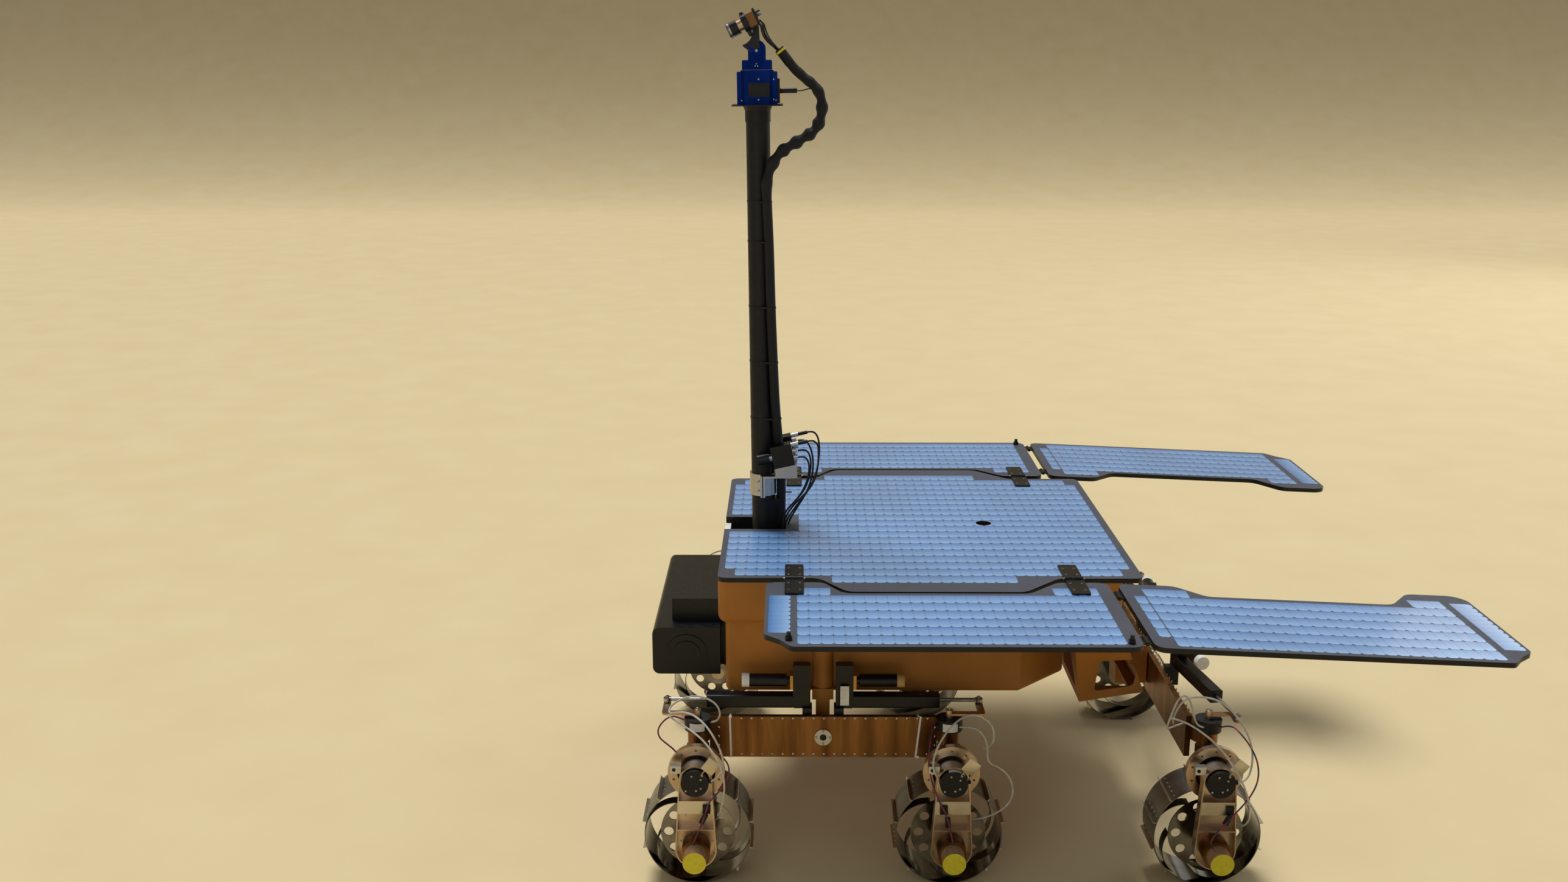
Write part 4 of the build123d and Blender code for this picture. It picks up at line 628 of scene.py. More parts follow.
class RoverFasteners(bpy.types.Operator):
    """Rivet the beams and set the screws of hinges, flanges and housings"""
    bl_idname = "rover.fasteners"
    bl_label = "Rivets and screws"

    def execute(self, context):
        size = context.scene.rover_fasteners
        for side, sign in SIDES:
            body, out = "bogie_" + side, (0, sign, 0)
            spots = [
                at(291.8 + n * size.rivet_pitch, sign * BEAM_FACE, z, out) for n in range(19) for z in RIVET_ROWS
            ]
            for n in range(1, 5):
                spots += [at(x, sign * BEAM_FACE, RIVET_ROWS[0] - n * 24.25, out) for x in (818.0, 272.5)]
            fasten("beam_rivets_" + side, body, rivet_head(size.rivet, 1.5), spots)
            x, z = PIVOT
            ring = ((0, 17.3), (17.3, 0), (0, -17.3), (-17.3, 0))
            flange = [at(x + dx, sign * (BEAM_FACE + 4), z + dz, out) for dx, dz in ring]
            fasten("pivot_screws_" + side, body, socket_screw(3.0, 2.4), flange)
        spots = []
        for y in [(n - 17) * 25.5 for n in range(35)]:
            # The bracket covers the middle of the upper row
            spots += [at(-377.0, y, z, (-1, 0, 0)) for z in RIVET_ROWS if abs(y) > 20 or z < 350]
        fasten("beam_rivets_rear", "bogie_rear", rivet_head(size.rivet, 1.5), spots)
        for side, sign in SIDES:
            for owner, body, middle in (("deck", "chassis", 414.35), ("side", "side_fold_" + side, 524.65)):
                spots = [
                    at(x + dx, sign * (middle + dy), 787.1)
                    for x in HINGES_X for dx in (-14, 14) for dy in (-23.5, 23.5)
                ]
                fasten(f"hinge_bolts_{owner}_{side}", body, socket_screw(size.bolt, 2.2), spots)
        for unit, body, screws in (("pan_unit", "chassis", PAN_SCREWS), ("yoke", "head_pan", YOKE_SCREWS)):
            heads = []
            for x, y, z, radius in screws:
                for side, sign in SIDES:
                    heads.append(socket_screw(radius, 1.4))
                    heads[-1].data.transform(at(x, sign * y, z, (0, sign, 0)))
            fit(unit + "_screws", "steel", body, "steel", *heads)
        return {"FINISHED"}


# Wheel modules

# From the station's middle: offset and height of the leg's screws, on its drum and on its plates
DRUM_SCREWS = ((7.2, 341.0), (-18.5, 343.0), (-14.8, 332.3), (-14.5, 309.1), (-3.2, 303.2), (21.9, 302.2))
LEG_SCREWS = (
    (26.3, 218.8), (-24.7, 219.0), (15.0, 171.0), (-17.4, 171.0),
    (37.9, 148.6), (-40.3, 148.6), (41.0, 116.0), (-40.8, 115.5),
)
# Offsets of the upper and lower connector, and the lower one's height and turn
CONNECTORS = {
    "front": (-27.5, -20.5, 229.0, -26), "middle": (22.0, 12.5, 221.0, 4), "rear": (-27.5, -20.5, 229.0, -26),
}
# Radius on which the rivets of a wheel's strips sit
STRIP_R = 134.0


class RoverWheels(bpy.types.Operator):
    """Rivet the wheels' strips and dress each walking leg"""
    bl_idname = "rover.wheels"
    bl_label = "Wheel modules"

    def execute(self, context):
        size = context.scene.rover_fasteners
        for station, x in STATIONS:
            for side, sign in SIDES:
                place = f"{station}_{side}"
                spots = []
                for angle in [math.radians(n * 30.0 + 20.4) for n in range(12)]:
                    out = (math.cos(angle), 0, math.sin(angle))
                    for y in range(-46, 47, 23):
                        spots.append(at(x + out[0] * STRIP_R, sign * TRACK + y, HUB_Z + out[2] * STRIP_R, out))
                fasten("strip_rivets_" + place, "wheel_" + place, rivet_head(size.strip_rivet, 1.2), spots)
                self.leg(place, x, sign, *CONNECTORS[station])
                self.encoder(place, x, sign, "bogie_" + side, station)
        return {"FINISHED"}

    def leg(self, place, x, sign, upper, lower, low, turn):
        """Screws, cover plate, lug, connectors and port of one walking leg."""
        body, out = "leg_" + place, (0, sign, 0)
        screws = [at(x + dx, sign * 636.0, z, out) for dx, z in DRUM_SCREWS]
        screws += [at(x + dx, sign * 600.0, z, out) for dx, z in LEG_SCREWS]
        fasten("leg_screws_" + place, body, socket_screw(2.6, 1.6), screws)
        # A black disc stands in for the lug's hole: painted shade in the opening
        hole = round_bar(4.4, 1.0, (x + 51.5, sign * 616.6, 348.0), ACROSS, soft=0.2)
        fit("leg_lug_hole_" + place, "rubber", body, "black_paint", smooth(hole))
        lean = (0, math.radians(-38), 0)
        plate = block((33, 2.0, 36), (x - 39.5, sign * 638.0, 368.0), lean, soft=0.4)
        flange = block((2.0, 52, 36), (x - 26.5, sign * 612.0, 358.0), lean, soft=0.4)
        fit("ring_cover_" + place, "pale_gold", body, "gold_anodised", smooth(plate), smooth(flange))
        shelf = block((19, 8, 22), (x + upper, sign * 626.5, 249.0), soft=1.0)
        inline = block((13, 8, 27), (x + lower, sign * 637.0, low), (0, math.radians(turn), 0), soft=1.2)
        port = round_bar(4.0, 9, (x - 36.5, sign * 629.0, 324.0), (0, math.radians(90), 0), soft=0.8)
        plugs = [smooth(part) for part in (shelf, inline, port)]
        fit("leg_connectors_" + place, "rubber", body, "black_paint", *plugs)

    def encoder(self, place, x, sign, bogie, station):
        """Labels and shaft nut of one steering encoder, and the middle walking encoder's label."""
        if station != "rear":
            drum = round_bar(ENCODER_R, 21.0, (x, sign * TRACK, 414.5), sides=96)
            self.wrap(drum, "encoder_label_" + place, bogie, lambda n: n.y * sign > 0.84)
        if station == "middle":
            drum = round_bar(WALK_DRUM_R + 0.3, 18.0, (x, sign * 626.0, WALK_Z), ACROSS, sides=96)
            aim = Vector((-0.21, 0.98, 0.0))
            self.wrap(drum, "walk_label_" + place, "leg_" + place, lambda n: n.dot(aim) > 0.82)
        nut = round_bar(6.0, 5.0, (x, sign * TRACK, 449.0), sides=6, soft=0.6)
        washer = round_bar(8.0, 1.4, (x, sign * TRACK, 446.2), soft=0.3)
        tip = round_bar(3.2, 5.0, (x, sign * TRACK, 453.5), sides=20, soft=0.8)
        shaft = (smooth(nut, 20), smooth(washer), smooth(tip))
        fit("steer_nut_" + place, "steel", "knuckle_" + place, "steel", *shaft)

    def wrap(self, drum, name, body, keep):
        """A thin blank label cut out of a drum's side."""
        edit(drum)
        pick_faces(drum, lambda c, n: abs(n.z) > 0.5 or not keep(n))
        bpy.ops.mesh.delete(type="FACE")
        bpy.ops.mesh.select_all(action="SELECT")
        bpy.ops.mesh.solidify(thickness=-0.15 * MM)
        leave()
        fit(name, "label", body, "cable_skin", smooth(drum))


# Cables

def cord_curve(name, points, diameter, finish):
    """A smooth cable on one open spline through the route's points, given in millimetres."""
    curve = bpy.data.curves.new(name, "CURVE")
    curve.dimensions = "3D"
    curve.bevel_depth = diameter / 2
    curve.bevel_resolution = 3
    curve.resolution_u = 6
    curve.use_fill_caps = True
    spline = curve.splines.new("NURBS")
    spline.points.add(len(points) - 1)
    for point, place in zip(spline.points, points):
        point.co = (place[0] * MM, place[1] * MM, place[2] * MM, 1.0)
    spline.order_u = 3
    spline.use_endpoint_u = True
    piece = bpy.data.objects.new(name, curve)
    bpy.context.collection.objects.link(piece)
    curve.materials.append(FINISH[finish])
    return piece


def curve_mesh(piece, bevel):
    """The mesh of a curve as it shows, or of its bare line."""
    probe = bpy.data.objects.new("probe", piece.data.copy())
    probe.data.bevel_depth = bevel
    bpy.context.collection.objects.link(probe)
    bpy.context.view_layer.update()
    graph = bpy.context.evaluated_depsgraph_get()
    mesh = bpy.data.meshes.new_from_object(probe.evaluated_get(graph))
    bpy.data.objects.remove(probe)
    return mesh


HEAD_SLEEVE = (
    (643, 1, 2015), (630, 1, 1999), (617, 1, 1988), (603, 2, 1975), (591, 3, 1967), (579, 4, 1957), (567, 5, 1942),
    (560, 7, 1922), (558, 9, 1902), (561, 12, 1880), (567, 15, 1862), (577, 18, 1846), (590, 20, 1835),
    (607, 24, 1826), (624, 27, 1815), (641, 30, 1806), (657, 33, 1796), (672, 35, 1783), (684, 37, 1764),
    (694, 38, 1742), (701, 39.5, 1712), (700.5, 39, 1688), (699.95, 38.75, 1664),
)
# How full the sleeve is at each point of its route
SLEEVE_FULLNESS = (
    1.0, 1.0, 1.1, 0.95, 1.2, 0.95, 1.3, 0.8, 1.5, 0.75, 1.6, 0.7, 1.6, 0.7, 1.62, 0.7, 1.6, 0.75, 1.5, 0.8,
    1.3, 1.0, 1.0,
)
CAMERA_LEAD = (
    (592.64, 51.5, 1029.18), (582.39, 51.5, 1031.47), (572, 51, 1028), (565.5, 50, 1019.5), (563.5, 49, 1007.5),
    (563, 48, 988), (564.5, 47, 958), (571, 45, 925), (585, 42, 896), (605, 37.5, 872), (628, 34, 848), (647, 31, 821),
    (659, 28, 789), (662, 26.5, 758), (663.5, 25.5, 738), (663.5, 25.5, 716),
)
# Cables beside the drawn camera lead: name and route
MAST_LEADS = (
    ("far_camera", (
        (592.6, -51.5, 1029.2), (580, -51.5, 1032), (567, -50, 1024), (560, -46, 1004), (559, -38, 970),
        (566, -22, 925), (586, -4, 880), (618, 8, 842), (648, 14, 800), (662, 16, 760), (663, 16, 716),
    )),
    ("near_socket", (
        (619, 55.5, 1004.5), (607, 55.5, 1007), (594, 54, 1004), (586, 53, 990), (583, 51, 966), (586, 49, 934),
        (600, 46, 892), (624, 40, 860), (652, 34, 830), (661, 31, 790), (662, 31, 716),
    )),
    ("near_blue", (
        (618, 55.5, 986), (606, 56, 988), (596, 56, 984), (589, 55, 970), (588, 53, 948), (594, 50, 916),
        (610, 46, 880), (634, 42, 850), (655, 38, 826), (660, 37, 780), (659, 38, 716),
    )),
    ("far_socket", (
        (619, -55.5, 1004.5), (605, -55.5, 1007), (590, -52, 1000), (577, -42, 968), (576, -22, 922), (592, 0, 874),
        (622, 12, 830), (650, 9, 780), (657, 8, 716),
    )),
)
HEAD_LEADS = (
    (
        (718, 46, 2118), (710, 45, 2112), (708, 38, 2098), (704, 28, 2084), (696, 18, 2071), (684, 10, 2059),
        (672, 5, 2048), (663, 4, 2039),
    ),
    (
        (720, 34, 2112), (714, 33, 2104), (713, 28, 2091), (708, 20, 2078), (699, 13, 2066), (687, 7, 2056),
        (675, 3, 2047), (664, -1, 2036),
    ),
    (
        (720, -34, 2112), (712, -33, 2104), (709, -27, 2090), (702, -17, 2074), (692, -9, 2061), (680, -4, 2050),
        (670, -2, 2041), (662, 0, 2033),
    ),
    (
        (718, -46, 2118), (708, -45, 2112), (704, -37, 2096), (697, -24, 2080), (688, -12, 2066), (676, -5, 2053),
        (666, 0, 2042), (660, 2, 2033),
    ),
)
PAN_LEAD = ((624, 4, 1944), (614, 4, 1944), (603, 6, 1946), (592, 8, 1950), (581, 9, 1948), (571, 10, 1942))
# Cables of the front, middle and rear stations, from the station's own middle: name, material, body, route
STATION_CABLES = {
    "front": (
        ("encoder", "signal", "knuckle_", (
            (-38.5, 629, 324), (-50, 640, 336), (-63, 655, 355.9), (-71.8, 668, 380.7), (-71.3, 676, 411.5),
            (-57.6, 672, 447.4), (-33.9, 655, 480.1), (-6.4, 630, 495.2), (22, 600, 493.1), (47.6, 575, 480.4),
            (66, 558, 471), (64.6, 545, 480), (51.6, 540, 490.9), (29.6, 532, 500.3), (0.1, 524, 501.7),
            (-29.4, 518, 491), (-50.2, 516, 473.9), (-58.5, 515, 452), (-53, 510, 432), (-42, 500, 421),
            (-33, 494, 417),
        )),
        ("hub", "signal", "leg_", (
            (67.7, 561, 467), (51.6, 571, 458), (23.3, 595, 452), (-11, 625, 442), (-38.8, 655, 425),
            (-59.8, 673, 400), (-69.9, 677, 374.7), (-74, 668, 338.8), (-72, 652, 302.6), (-66, 640, 268.2),
            (-60, 622, 237.9), (-56, 600, 215), (-50, 575, 195), (-38, 556, 180), (-26, 545, 160),
        )),
        ("supply", "pair", "knuckle_", (
            (30, 530, 440), (48, 542, 455), (65.3, 545, 456), (83.3, 548, 442.7), (95.5, 550, 422.5),
            (91.5, 550, 401.4), (72.5, 548, 383.5), (56, 545, 368), (44, 543, 350),
        )),
        ("drive", "pair", "leg_", (
            (-60, 584, 372), (-76, 590, 360), (-84, 604, 341.8), (-79, 624, 325), (-60, 637, 302.2), (-38, 642, 281),
            (-29, 641, 259.4), (-21, 641, 229), (-12, 643, 207.2), (-3.1, 648, 187.6), (4, 652, 172), (5, 652, 160),
        )),
    ),
    "middle": (
        ("encoder", "signal", "knuckle_", (
            (35.5, 622, 330), (44, 640, 345), (53.7, 655, 371.1), (54.8, 660, 398.9), (42, 650, 433.5),
            (15.1, 630, 466), (-22.3, 600, 485), (-57.1, 585, 482), (-86, 575, 460), (-100, 568, 437.4),
            (-104, 560, 402), (-96, 548, 380), (-80, 545, 372),
        )),
        ("hub", "signal", "leg_", (
            (-24, 516, 416), (-42, 540, 428), (-64, 556, 430), (-80, 564, 412), (-88, 568, 385), (-86, 568, 360),
            (-96, 566, 341), (-114.2, 563, 333.5), (-141.1, 560, 310.4), (-156, 560, 275), (-150.5, 560, 235),
            (-118.7, 560, 206), (-83, 560, 191.4), (-60, 556, 186), (-40, 550, 180),
        )),
        ("supply", "pair", "leg_", (
            (33, 495, 414), (45, 526, 430), (52, 566, 420), (58, 590, 393.3), (60, 606, 358.2), (54, 622, 323),
            (36, 636, 276.9), (17, 641, 244.9), (7, 642, 205.5), (1.3, 650, 176.8), (0, 653, 160),
        )),
    ),
    "rear": (
        ("encoder", "signal", "bogie_", (
            (14, 512, 415), (34, 530, 424), (50, 542, 450), (60, 550, 487), (72, 556, 514), (88, 562, 524),
            (103, 568, 509.5), (117, 580, 482), (126, 582, 455), (122, 560, 432), (90, 514, 420), (62, 480, 410),
        )),
        ("loop", "signal", "knuckle_", (
            (90, 500, 420), (104, 540, 445), (101, 566, 490), (87.1, 580, 522), (50.5, 580, 528), (5.6, 580, 518.7),
            (-33.5, 582, 487), (-66.6, 590, 439), (-81.4, 600, 390.7), (-76, 612, 346.1), (-60, 624, 326),
            (-39, 629, 322),
        )),
        ("hub", "signal", "leg_", (
            (115, 560, 462), (95, 580, 466), (61.8, 612, 458), (19.6, 645, 431.4), (-12.7, 668, 390), (-40, 676, 343),
            (-60, 664, 290), (-74, 640, 236), (-70, 610, 196), (-58, 580, 190), (-40, 556, 184),
        )),
        ("drive", "pair", "leg_", (
            (-26, 512, 416), (-42, 540, 436), (-58, 572, 426), (-77, 600, 402), (-93, 612, 364), (-92, 622, 322),
            (-70, 632, 283), (-36, 640, 247), (-16, 642, 223), (14, 648, 192), (24, 655, 174), (14, 654, 160),
        )),
    ),
}

class RoverCables(bpy.types.Operator):
    """Run the sleeve, the camera leads and each wheel module's cables"""
    bl_idname = "rover.cables"
    bl_label = "Cables"

    def execute(self, context):
        size = context.scene.rover_cables
        sleeve = cord_curve("head_sleeve", HEAD_SLEEVE, size.sleeve, "braid")
        for point, fullness in zip(sleeve.data.splines[0].points, SLEEVE_FULLNESS):
            point.radius = fullness
        carry(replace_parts(sleeve, "cable_head_sleeve"), "chassis")
        mouth = round_bar(12.6, 46, (655, 2, 2030), (0, math.radians(38), 0), soft=1.5, sides=32)
        edit(mouth, "EDGE")
        bpy.ops.mesh.select_all(action="SELECT")
        bpy.ops.mesh.subdivide(number_cuts=4)
        leave()
        mouth = fit("head_sleeve_mouth", "braid", "chassis", "cable_skin", smooth(mouth))
        lead = cord_curve("camera_lead", CAMERA_LEAD, size.camera, "lead")
        carry(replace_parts(lead, "cable_camera_lead"), "chassis")
        for name, route in MAST_LEADS:
            self.run("camera_lead_" + name, route, size.camera, "lead", "chassis")
        self.run("pan_unit_lead", PAN_LEAD, size.camera * 0.6, "lead", "chassis")
        for number, route in enumerate(HEAD_LEADS, 1):
            self.run(f"head_lead_{number}", route, size.camera * 0.8, "lead", "head_tilt")
        for station, x in STATIONS:
            for side, sign in SIDES:
                place = f"{station}_{side}"
                leg, knuckle = "leg_" + place, "knuckle_" + place
                for name, finish, body, route in STATION_CABLES[station]:
                    owner = "bogie_rear" if body == "bogie_" else body + place
                    across = {leg: knuckle, knuckle: leg}.get(owner)
                    if name == "supply" and station != "middle":
                        across = None
                    thick = size.signal if finish == "signal" else size.pair
                    route = [(x + p[0], sign * p[1], p[2]) for p in route]
                    self.run(f"cable_{name}_{place}", route, thick, finish, owner, across)
        return {"FINISHED"}

    def run(self, name, route, diameter, finish, body, across=None):
        """One cable along its drawn line, carried by a body; where across is given, it is made a mesh that stays where
        it is drawn and rides on no body.
        """
        piece = cord_curve(name, route, diameter, finish)
        spots = [v.co.copy() for v in curve_mesh(piece, 0.0).vertices]
        if across:
            curve = piece
            piece = bpy.data.objects.new(name, curve_mesh(curve, diameter / 2))
            bpy.context.collection.objects.link(piece)
            bpy.data.objects.remove(curve)
            piece.name = name
        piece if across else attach(piece, body)
        if across:
            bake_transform(piece)


# Ties, labels and small pieces

# Height of each mast tie, and the strapped sleeve's place there
MAST_TIES = (
    (1664, 700.0, 38.8), (1560, 696.5, 37.0), (1388, 690.0, 34.5), (1240, 684.5, 30.5), (1085, 676.0, 22.0),
)


class RoverTrim(bpy.types.Operator):
    """Add the ties, labels, dark discs and plates, clamp bolts, stop block and sleeve tape"""
    bl_idname = "rover.trim"
    bl_label = "Ties and labels"

    def execute(self, context):
        for side, sign in SIDES:
            ties = []
            for x, turn in ((788.5, 0.02), (315.5, -0.1)):
                ties.append(block((5.0, 1.3, 112), (x, sign * 466.8, 366), (0, turn * sign, 0), soft=0.4))
                ties.append(block((5.0, 15.0, 1.3), (x, sign * 459.0, 420.8), soft=0.4))
                ties.append(block((5.0, 15.0, 1.3), (x, sign * 459.0, 309.2), soft=0.4))
                ties.append(block((7.5, 5.0, 6.0), (x, sign * 468.4, 420 if turn > 0 else 312), soft=1.0))
            fit("beam_ties_" + side, "white", "bogie_" + side, "cable_skin", *[smooth(tie) for tie in ties])
            label = block((22, 0.3, 52), (501, sign * 451.4, 470), soft=0.1, steps=1)
            fit("drive_label_" + side, "label", "bogie_" + side, "cable_skin", label)
            # A black disc stands in for the pivot's bore: painted shade in the opening
            hole = round_bar(8.0, 1.2, (PIVOT[0], sign * 470.6, 365.5), ACROSS, soft=0.3)
            fit("pivot_bore_shade_" + side, "rubber", "chassis", "black_paint", smooth(hole))
        plate = block((54, 0.4, 35), (720, 38.75, 1946.5), soft=0.15, steps=1)
        fit("pan_unit_plate", "rubber", "chassis", "black_paint", plate)
        ties = []
        for z, x, y in MAST_TIES:
            axis = MAST_X + (z - MAST_FOOT) * math.tan(math.radians(MAST_LEAN))
            ties.append(self.strap(z, ((axis, 0, 32.0), (x, y, 13.4)), 4.5))
        # A boot holds the mast's foot and the sleeve under the clamp
        ties.append(self.strap(791.0, ((712.3, 0, 31.2), (665.8, -4.0, 14.2)), 134.0))
        fit("mast_ties", "rubber", "chassis", "black_paint", *ties)
        bolts = [at(726.0, 37.5, z, (0, 1, 0)) for z in (912, 886)]
        fasten("mast_clamp_bolts", "chassis", socket_screw(2.4, 1.8), bolts)
        stub = block((26, 4, 3), (648, 26, 880), soft=0.8)
        fit("mast_tie_tail", "rubber", "chassis", "black_paint", smooth(stub))
        stop = block((16, 62, 26), (811, -9, 758), soft=1.5)
        fit("slot_block", "white", "chassis", "cable_skin", smooth(stop))
        tape = round_bar(13.6, 6.0, (665, 2, 2042), (0, math.radians(38), 0), sides=32, soft=0.8)
        fit("sleeve_tape", "yellow", "chassis", "cable_skin", smooth(tape))
        return {"FINISHED"}

    def strap(self, z, rounds, width):
        """A flat strap pulled round two tubes, given as x, y and radius at a height."""
        band = join(*[round_bar(radius, width, (x, y, z), sides=40) for x, y, radius in rounds])
        edit(band)
        bpy.ops.mesh.select_all(action="SELECT")
        bpy.ops.mesh.convex_hull()
        leave()
        return smooth(band)


class RoverFinish(bpy.types.Operator):
    """Give every carried-over part its finish"""
    bl_idname = "rover.finish"
    bl_label = "Finishes"

    def execute(self, context):
        FINISH.update(finishes(context.scene.rover_finishes, context.scene.rover_panels))
        self.deck_and_body()
        self.mast_and_head()
        self.drives()
        for side, sign in SIDES:
            for name in ("side_hinges_", "side_knobs_", "wing_hinges_"):
                paint(name + side, "black")
            paint("bogie_beam_" + side, "copper", ("aluminium", lambda c, n: abs(c.y) > BEAM_FACE + 0.5))
            for station, x in STATIONS:
                self.station(f"{station}_{side}", x)
        for owner in ("left", "right", "rear"):
            paint("steer_housings_" + owner, "copper", ("rubber", lambda c, n: c.z > 400.5 and self.in_disc(c)))
        return {"FINISHED"}

    def deck_and_body(self):
        """Body, deck, panels and drill box."""
        well = lambda c, n: abs(c.y) < 57 and c.z > 690 and c.x > 640 and n.z > -0.5
        paint("body_shell", "ochre", ("edge", well))
        for panel in ("deck_panel", "side_panel_left", "side_panel_right", "wing_left", "wing_right"):
            paint(panel, "edge", ("border", lambda c, n: n.z > 0.95))
        pin = lambda c, n: min(abs(c.x - x) for x in HINGES_X) > 23.3
        paint("deck_hinge_leaves", "black", ("steel", pin))
        paint("drill_box", "black")
        paint("bogie_posts", "ochre", ("copper", lambda c, n: c.z < 396))
        paint("rear_bogie_bracket", "ochre")
        paint("rear_bogie_beam", "copper")

    def mast_and_head(self):
        """Mast, its clamp and cameras, pan unit and camera head."""
        paint("mast_tube", "tube")
        paint("cable_mast_sleeve", "braid")
        paint("mast_clamp", "aluminium")
        low = lambda c: off_axis(c, 657.0, 46.5, 989.0, 12.0)
        plug = lambda c: 616.5 < c.x < 636 and 45 < abs(c.y) < 62 and c.z > 979
        paint(
            "mast_cameras", "black",
            ("aluminium", lambda c, n: plug(c) and abs(n.x * 0.978 - n.z * 0.208) < 0.93),
            ("steel", lambda c, n: low(c)[1] < 12.4 and 26 < low(c)[0] < 42),
            ("mirror", lambda c, n: n.x > 0.9 and low(c)[1] < 11 and low(c)[0] > 60),
        )
        paint("head_plate", "black")
        paint("pan_unit_base", "blue", ("black", lambda c, n: c.x < 676))
        paint("pan_yoke", "blue")
        boss = lambda c, n: math.hypot(c.x - TILT_AXIS[0], c.z - TILT_AXIS[1]) < 19 and c.z < 2050
        paint("tilt_bracket", "black", ("blue", boss))
        high = lambda c: off_axis(c, 780.8, 48.0, 2097.7, 25.0)
        paint(
            "head_cameras", "black",
            ("lever", lambda c, n: high(c)[1] < 13.9 and -30 < high(c)[0] < -2),
            ("steel", lambda c, n: high(c)[1] > 13 and 10.5 < high(c)[0] < 13 and abs(n.y) + abs(n.z) > 0.5),
            ("mirror", lambda c, n: n.x > 0.85 and high(c)[1] < 13 and high(c)[0] > 10),
            ("copper", lambda c, n: abs(abs(c.y) - 65) < 0.2 and c.x < 756 and abs(n.y) > 0.9),
            ("aluminium", lambda c, n: c.x < 720 and abs(abs(c.y) - 48) < 6.3),
        )

    def drives(self):
        """Caps, bright rings and brass plates of the steering drives."""
        motor = lambda c: 484 < c.z < 522
        away = lambda c: abs(c.x - PIVOT[0])
        cap = lambda c: motor(c) and away(c) > 186 - TINY
        for side, sign in SIDES:
            paint(
                "steer_drives_" + side, "black", ("white", lambda c, n: cap(c)),
                ("cream", lambda c, n: cap(c) and c.x < PIVOT[0]),
                ("aluminium", lambda c, n: motor(c) and 160 < away(c) < 165),
                ("brass", lambda c, n: 470 < c.z < 530 and 76.2 < away(c) < 84),
            )
        paint(
            "steer_drives_rear", "black", ("white", lambda c, n: motor(c) and abs(c.y) > 300.2),
            ("brass", lambda c, n: motor(c) and 190.8 < abs(c.y) < 199.2),
        )

    def station(self, place, x):
        """Rod, knuckle, leg and wheel of one station."""
        walk = lambda c: math.hypot(c.x - x, c.z - WALK_Z)
        hub = lambda c: math.hypot(c.x - x, c.z - HUB_Z)
        paint("steer_rod_" + place, "steel")
        # Inside the walking drum's bore the knuckle's wall is painted black and its back plate copper: painted shade
        # where the drum keeps the light out
        paint(
            "steer_knuckle_" + place, "gold", ("lever", lambda c, n: c.z > 436),
            ("rubber", lambda c, n: walk(c) < 48 and abs(n.y) < 0.5),
            ("copper", lambda c, n: walk(c) < 48 and abs(n.y) > 0.5 and abs(c.y) < 573),
        )
        paint(
            "wheel_leg_" + place, "gold",
            ("rubber", lambda c, n: walk(c) < 34.6 and abs(c.y) > 614.5),
            ("steel", lambda c, n: walk(c) < 41.5 and abs(c.y) < 615 and c.z > 321),
            ("aluminium", lambda c, n: c.x - x > 39.9 and c.z > 337),
            ("pale_gold", lambda c, n: abs(n.y) > 0.9 and 240 < c.z < 268 and abs(c.y) > 605),
            ("yellow", lambda c, n: hub(c) < 30 and abs(c.y) > 689),
            ("clear", lambda c, n: 26 < hub(c) < 30 and 648.5 < abs(c.y) < 689),
            ("copper", lambda c, n: 30 < hub(c) < 35.6 and abs(c.y) > 605),
        )
        inward = lambda c, n: abs(n.y) < 0.5 and (c.x - x) * n.x + (c.z - HUB_Z) * n.z < 0
        paint(
            "wheel_" + place, "rim", ("pale_gold", lambda c, n: hub(c) > 134.2),
            ("mirror", lambda c, n: hub(c) < 133.2 and inward(c, n)),
            ("mirror", lambda c, n: 95 < hub(c) < 132),
            ("disc", lambda c, n: hub(c) < 95),
        )

    def in_disc(self, c):
        """Whether a place is within a steering encoder's disc."""
        return any(math.hypot(c.x - x, abs(c.y) - TRACK) < 33.6 for name, x in STATIONS)


# Floor, lamps and camera

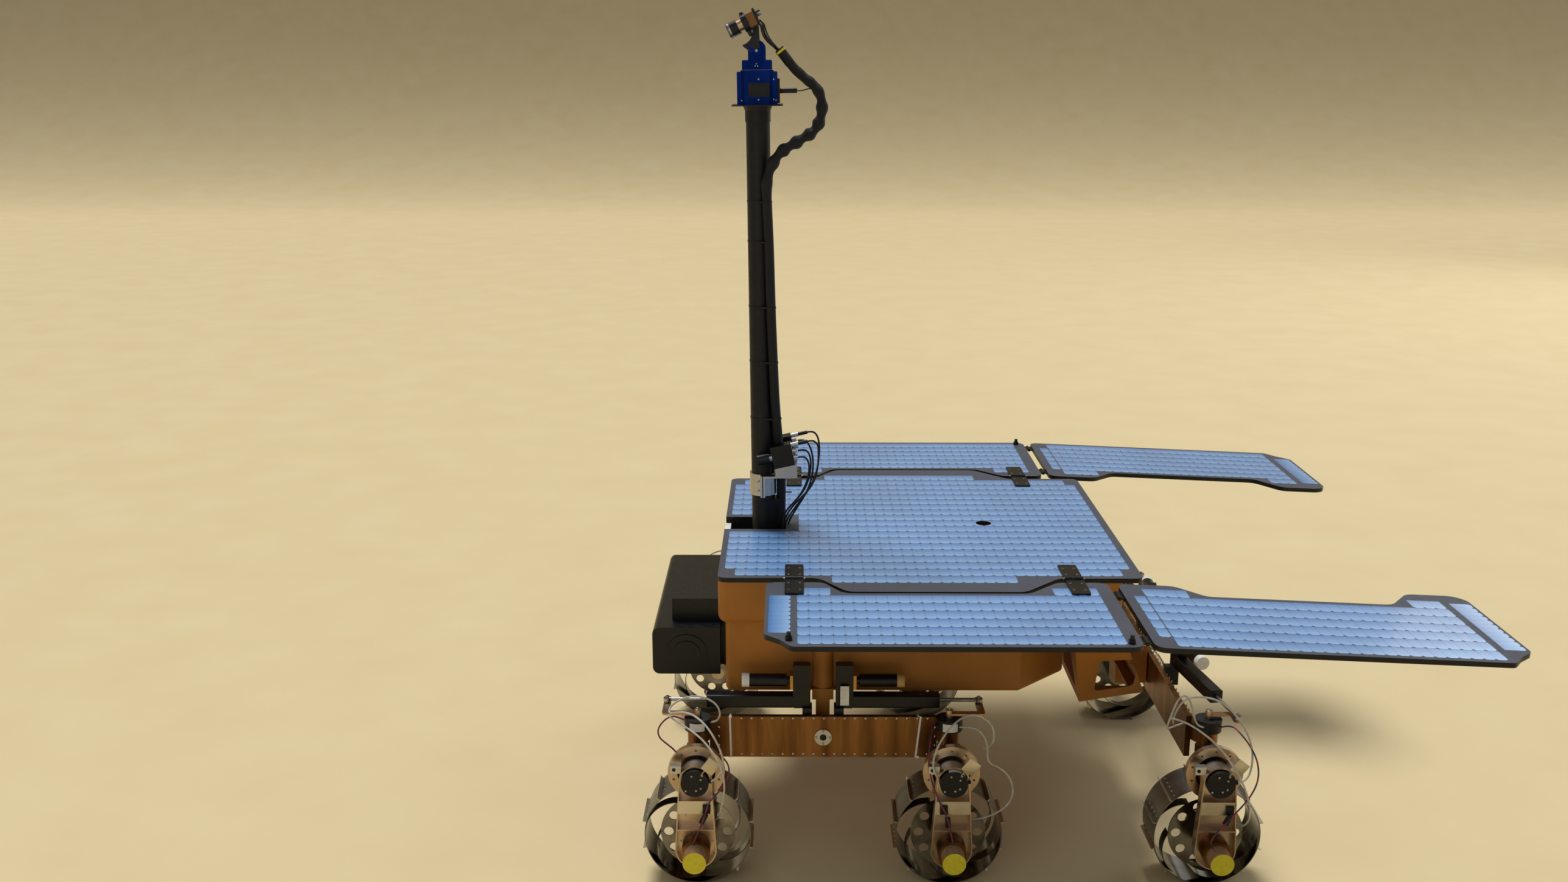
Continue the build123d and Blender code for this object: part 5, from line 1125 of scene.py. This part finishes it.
class RoverStage(bpy.types.Operator):
    """Set up the floor, the soft lamps and the camera"""
    bl_idname = "rover.stage"
    bl_label = "Stage"

    def execute(self, context):
        size = context.scene.rover_stage
        bpy.ops.mesh.primitive_plane_add(size=40, location=(0, -6, 0))
        floor = bpy.context.object
        edit(floor, "EDGE")
        far = lambda v: v.y < -19
        pick_edges(floor, lambda a, b: far(a) and far(b))
        bpy.ops.mesh.extrude_region_move(TRANSFORM_OT_translate={"value": (0, 0, 16)})
        bpy.ops.mesh.select_all(action="DESELECT")
        pick_edges(floor, lambda a, b: far(a) and far(b) and a.z < 1 and b.z < 1)
        bpy.ops.mesh.bevel(offset=9.0, segments=24)
        leave()
        smooth(floor)
        material, tree, shader, spots = start("pale_floor", Roughness=0.9)
        noise = add(tree, "TexNoise", {"Scale": 3.0, "Detail": 4.0}, {"Vector": spots["Object"]})
        feed(shader, Base_Color=two_tone(tree, noise.outputs["Fac"], size.floor, "e0cea2"))
        FINISH["floor"] = material
        settle(join(floor), "stage_floor", "floor")
        world = bpy.data.worlds.new("studio")
        world.use_nodes = True
        sky = world.node_tree.nodes["Background"].inputs
        sky["Color"].default_value = colour("e8ebf0")
        sky["Strength"].default_value = 0.36
        context.scene.world = world
        for name, kind, place, aim, extent, power in (
            ("key", "SUN", (0.9, -1.7, 5.2), (0, 0, 0.5), math.radians(24), size.key),
            ("fill", "AREA", (2.2, 5.2, 2.6), (0, 0, 0.5), 3.0, size.fill),
            ("side", "AREA", (-8.5, -7.5, 5.4), (-0.6, 0, 0.8), 8.0, size.fill * 8),
        ):
            lamp = bpy.data.lights.new(name, kind)
            setattr(lamp, "size" if kind == "AREA" else "angle", extent)
            lamp.energy = power
            holder = bpy.data.objects.new(name, lamp)
            holder.location = place
            holder.rotation_euler = (Vector(aim) - Vector(place)).to_track_quat("-Z", "Y").to_euler()
            context.collection.objects.link(holder)
        view = bpy.data.cameras.new("photo_view")
        view.sensor_width = 36.0
        view.lens = size.lens
        camera = bpy.data.objects.new("photo_view", view)
        camera.location = (0.633, 3.930, 2.012)
        camera.rotation_euler = (math.radians(90 - 14.21), 0, math.radians(180.34))
        context.collection.objects.link(camera)
        context.scene.camera = camera
        context.scene.view_settings.view_transform = "Standard"
        return {"FINISHED"}


class RoverPanel(bpy.types.Panel):
    """Buttons that build the rover's looks"""
    bl_idname = "VIEW3D_PT_rover"
    bl_label = "Rover"
    bl_space_type = "VIEW_3D"
    bl_region_type = "UI"
    bl_category = "Rover"

    def draw(self, context):
        for name, group in SETTINGS:
            for field in group.__annotations__:
                self.layout.prop(getattr(context.scene, name), field)
        for operator in OPERATORS:
            self.layout.operator(operator.bl_idname)


SETTINGS = (
    ("rover_panels", RoverPanelSettings),
    ("rover_finishes", RoverFinishSettings),
    ("rover_fasteners", RoverFastenerSettings),
    ("rover_cables", RoverCableSettings),
    ("rover_stage", RoverStageSettings),
)
OPERATORS = (RoverStage, RoverFinish, RoverCables, RoverCells, RoverFasteners, RoverWheels, RoverTrim)


def register():
    for name, group in SETTINGS:
        bpy.utils.register_class(group)
        setattr(bpy.types.Scene, name, bpy.props.PointerProperty(type=group))
    for operator in OPERATORS:
        bpy.utils.register_class(operator)
    bpy.utils.register_class(RoverPanel)


def unregister():
    bpy.utils.unregister_class(RoverPanel)
    for operator in reversed(OPERATORS):
        bpy.utils.unregister_class(operator)
    for name, group in reversed(SETTINGS):
        delattr(bpy.types.Scene, name)
        bpy.utils.unregister_class(group)


def main():
    register()
    bpy.ops.rover.stage()
    bpy.ops.rover.finish()
    bpy.ops.rover.cables()
    bpy.ops.rover.cells()
    bpy.ops.rover.fasteners()
    bpy.ops.rover.wheels()
    bpy.ops.rover.trim()


if __name__ == "__main__":
    main()
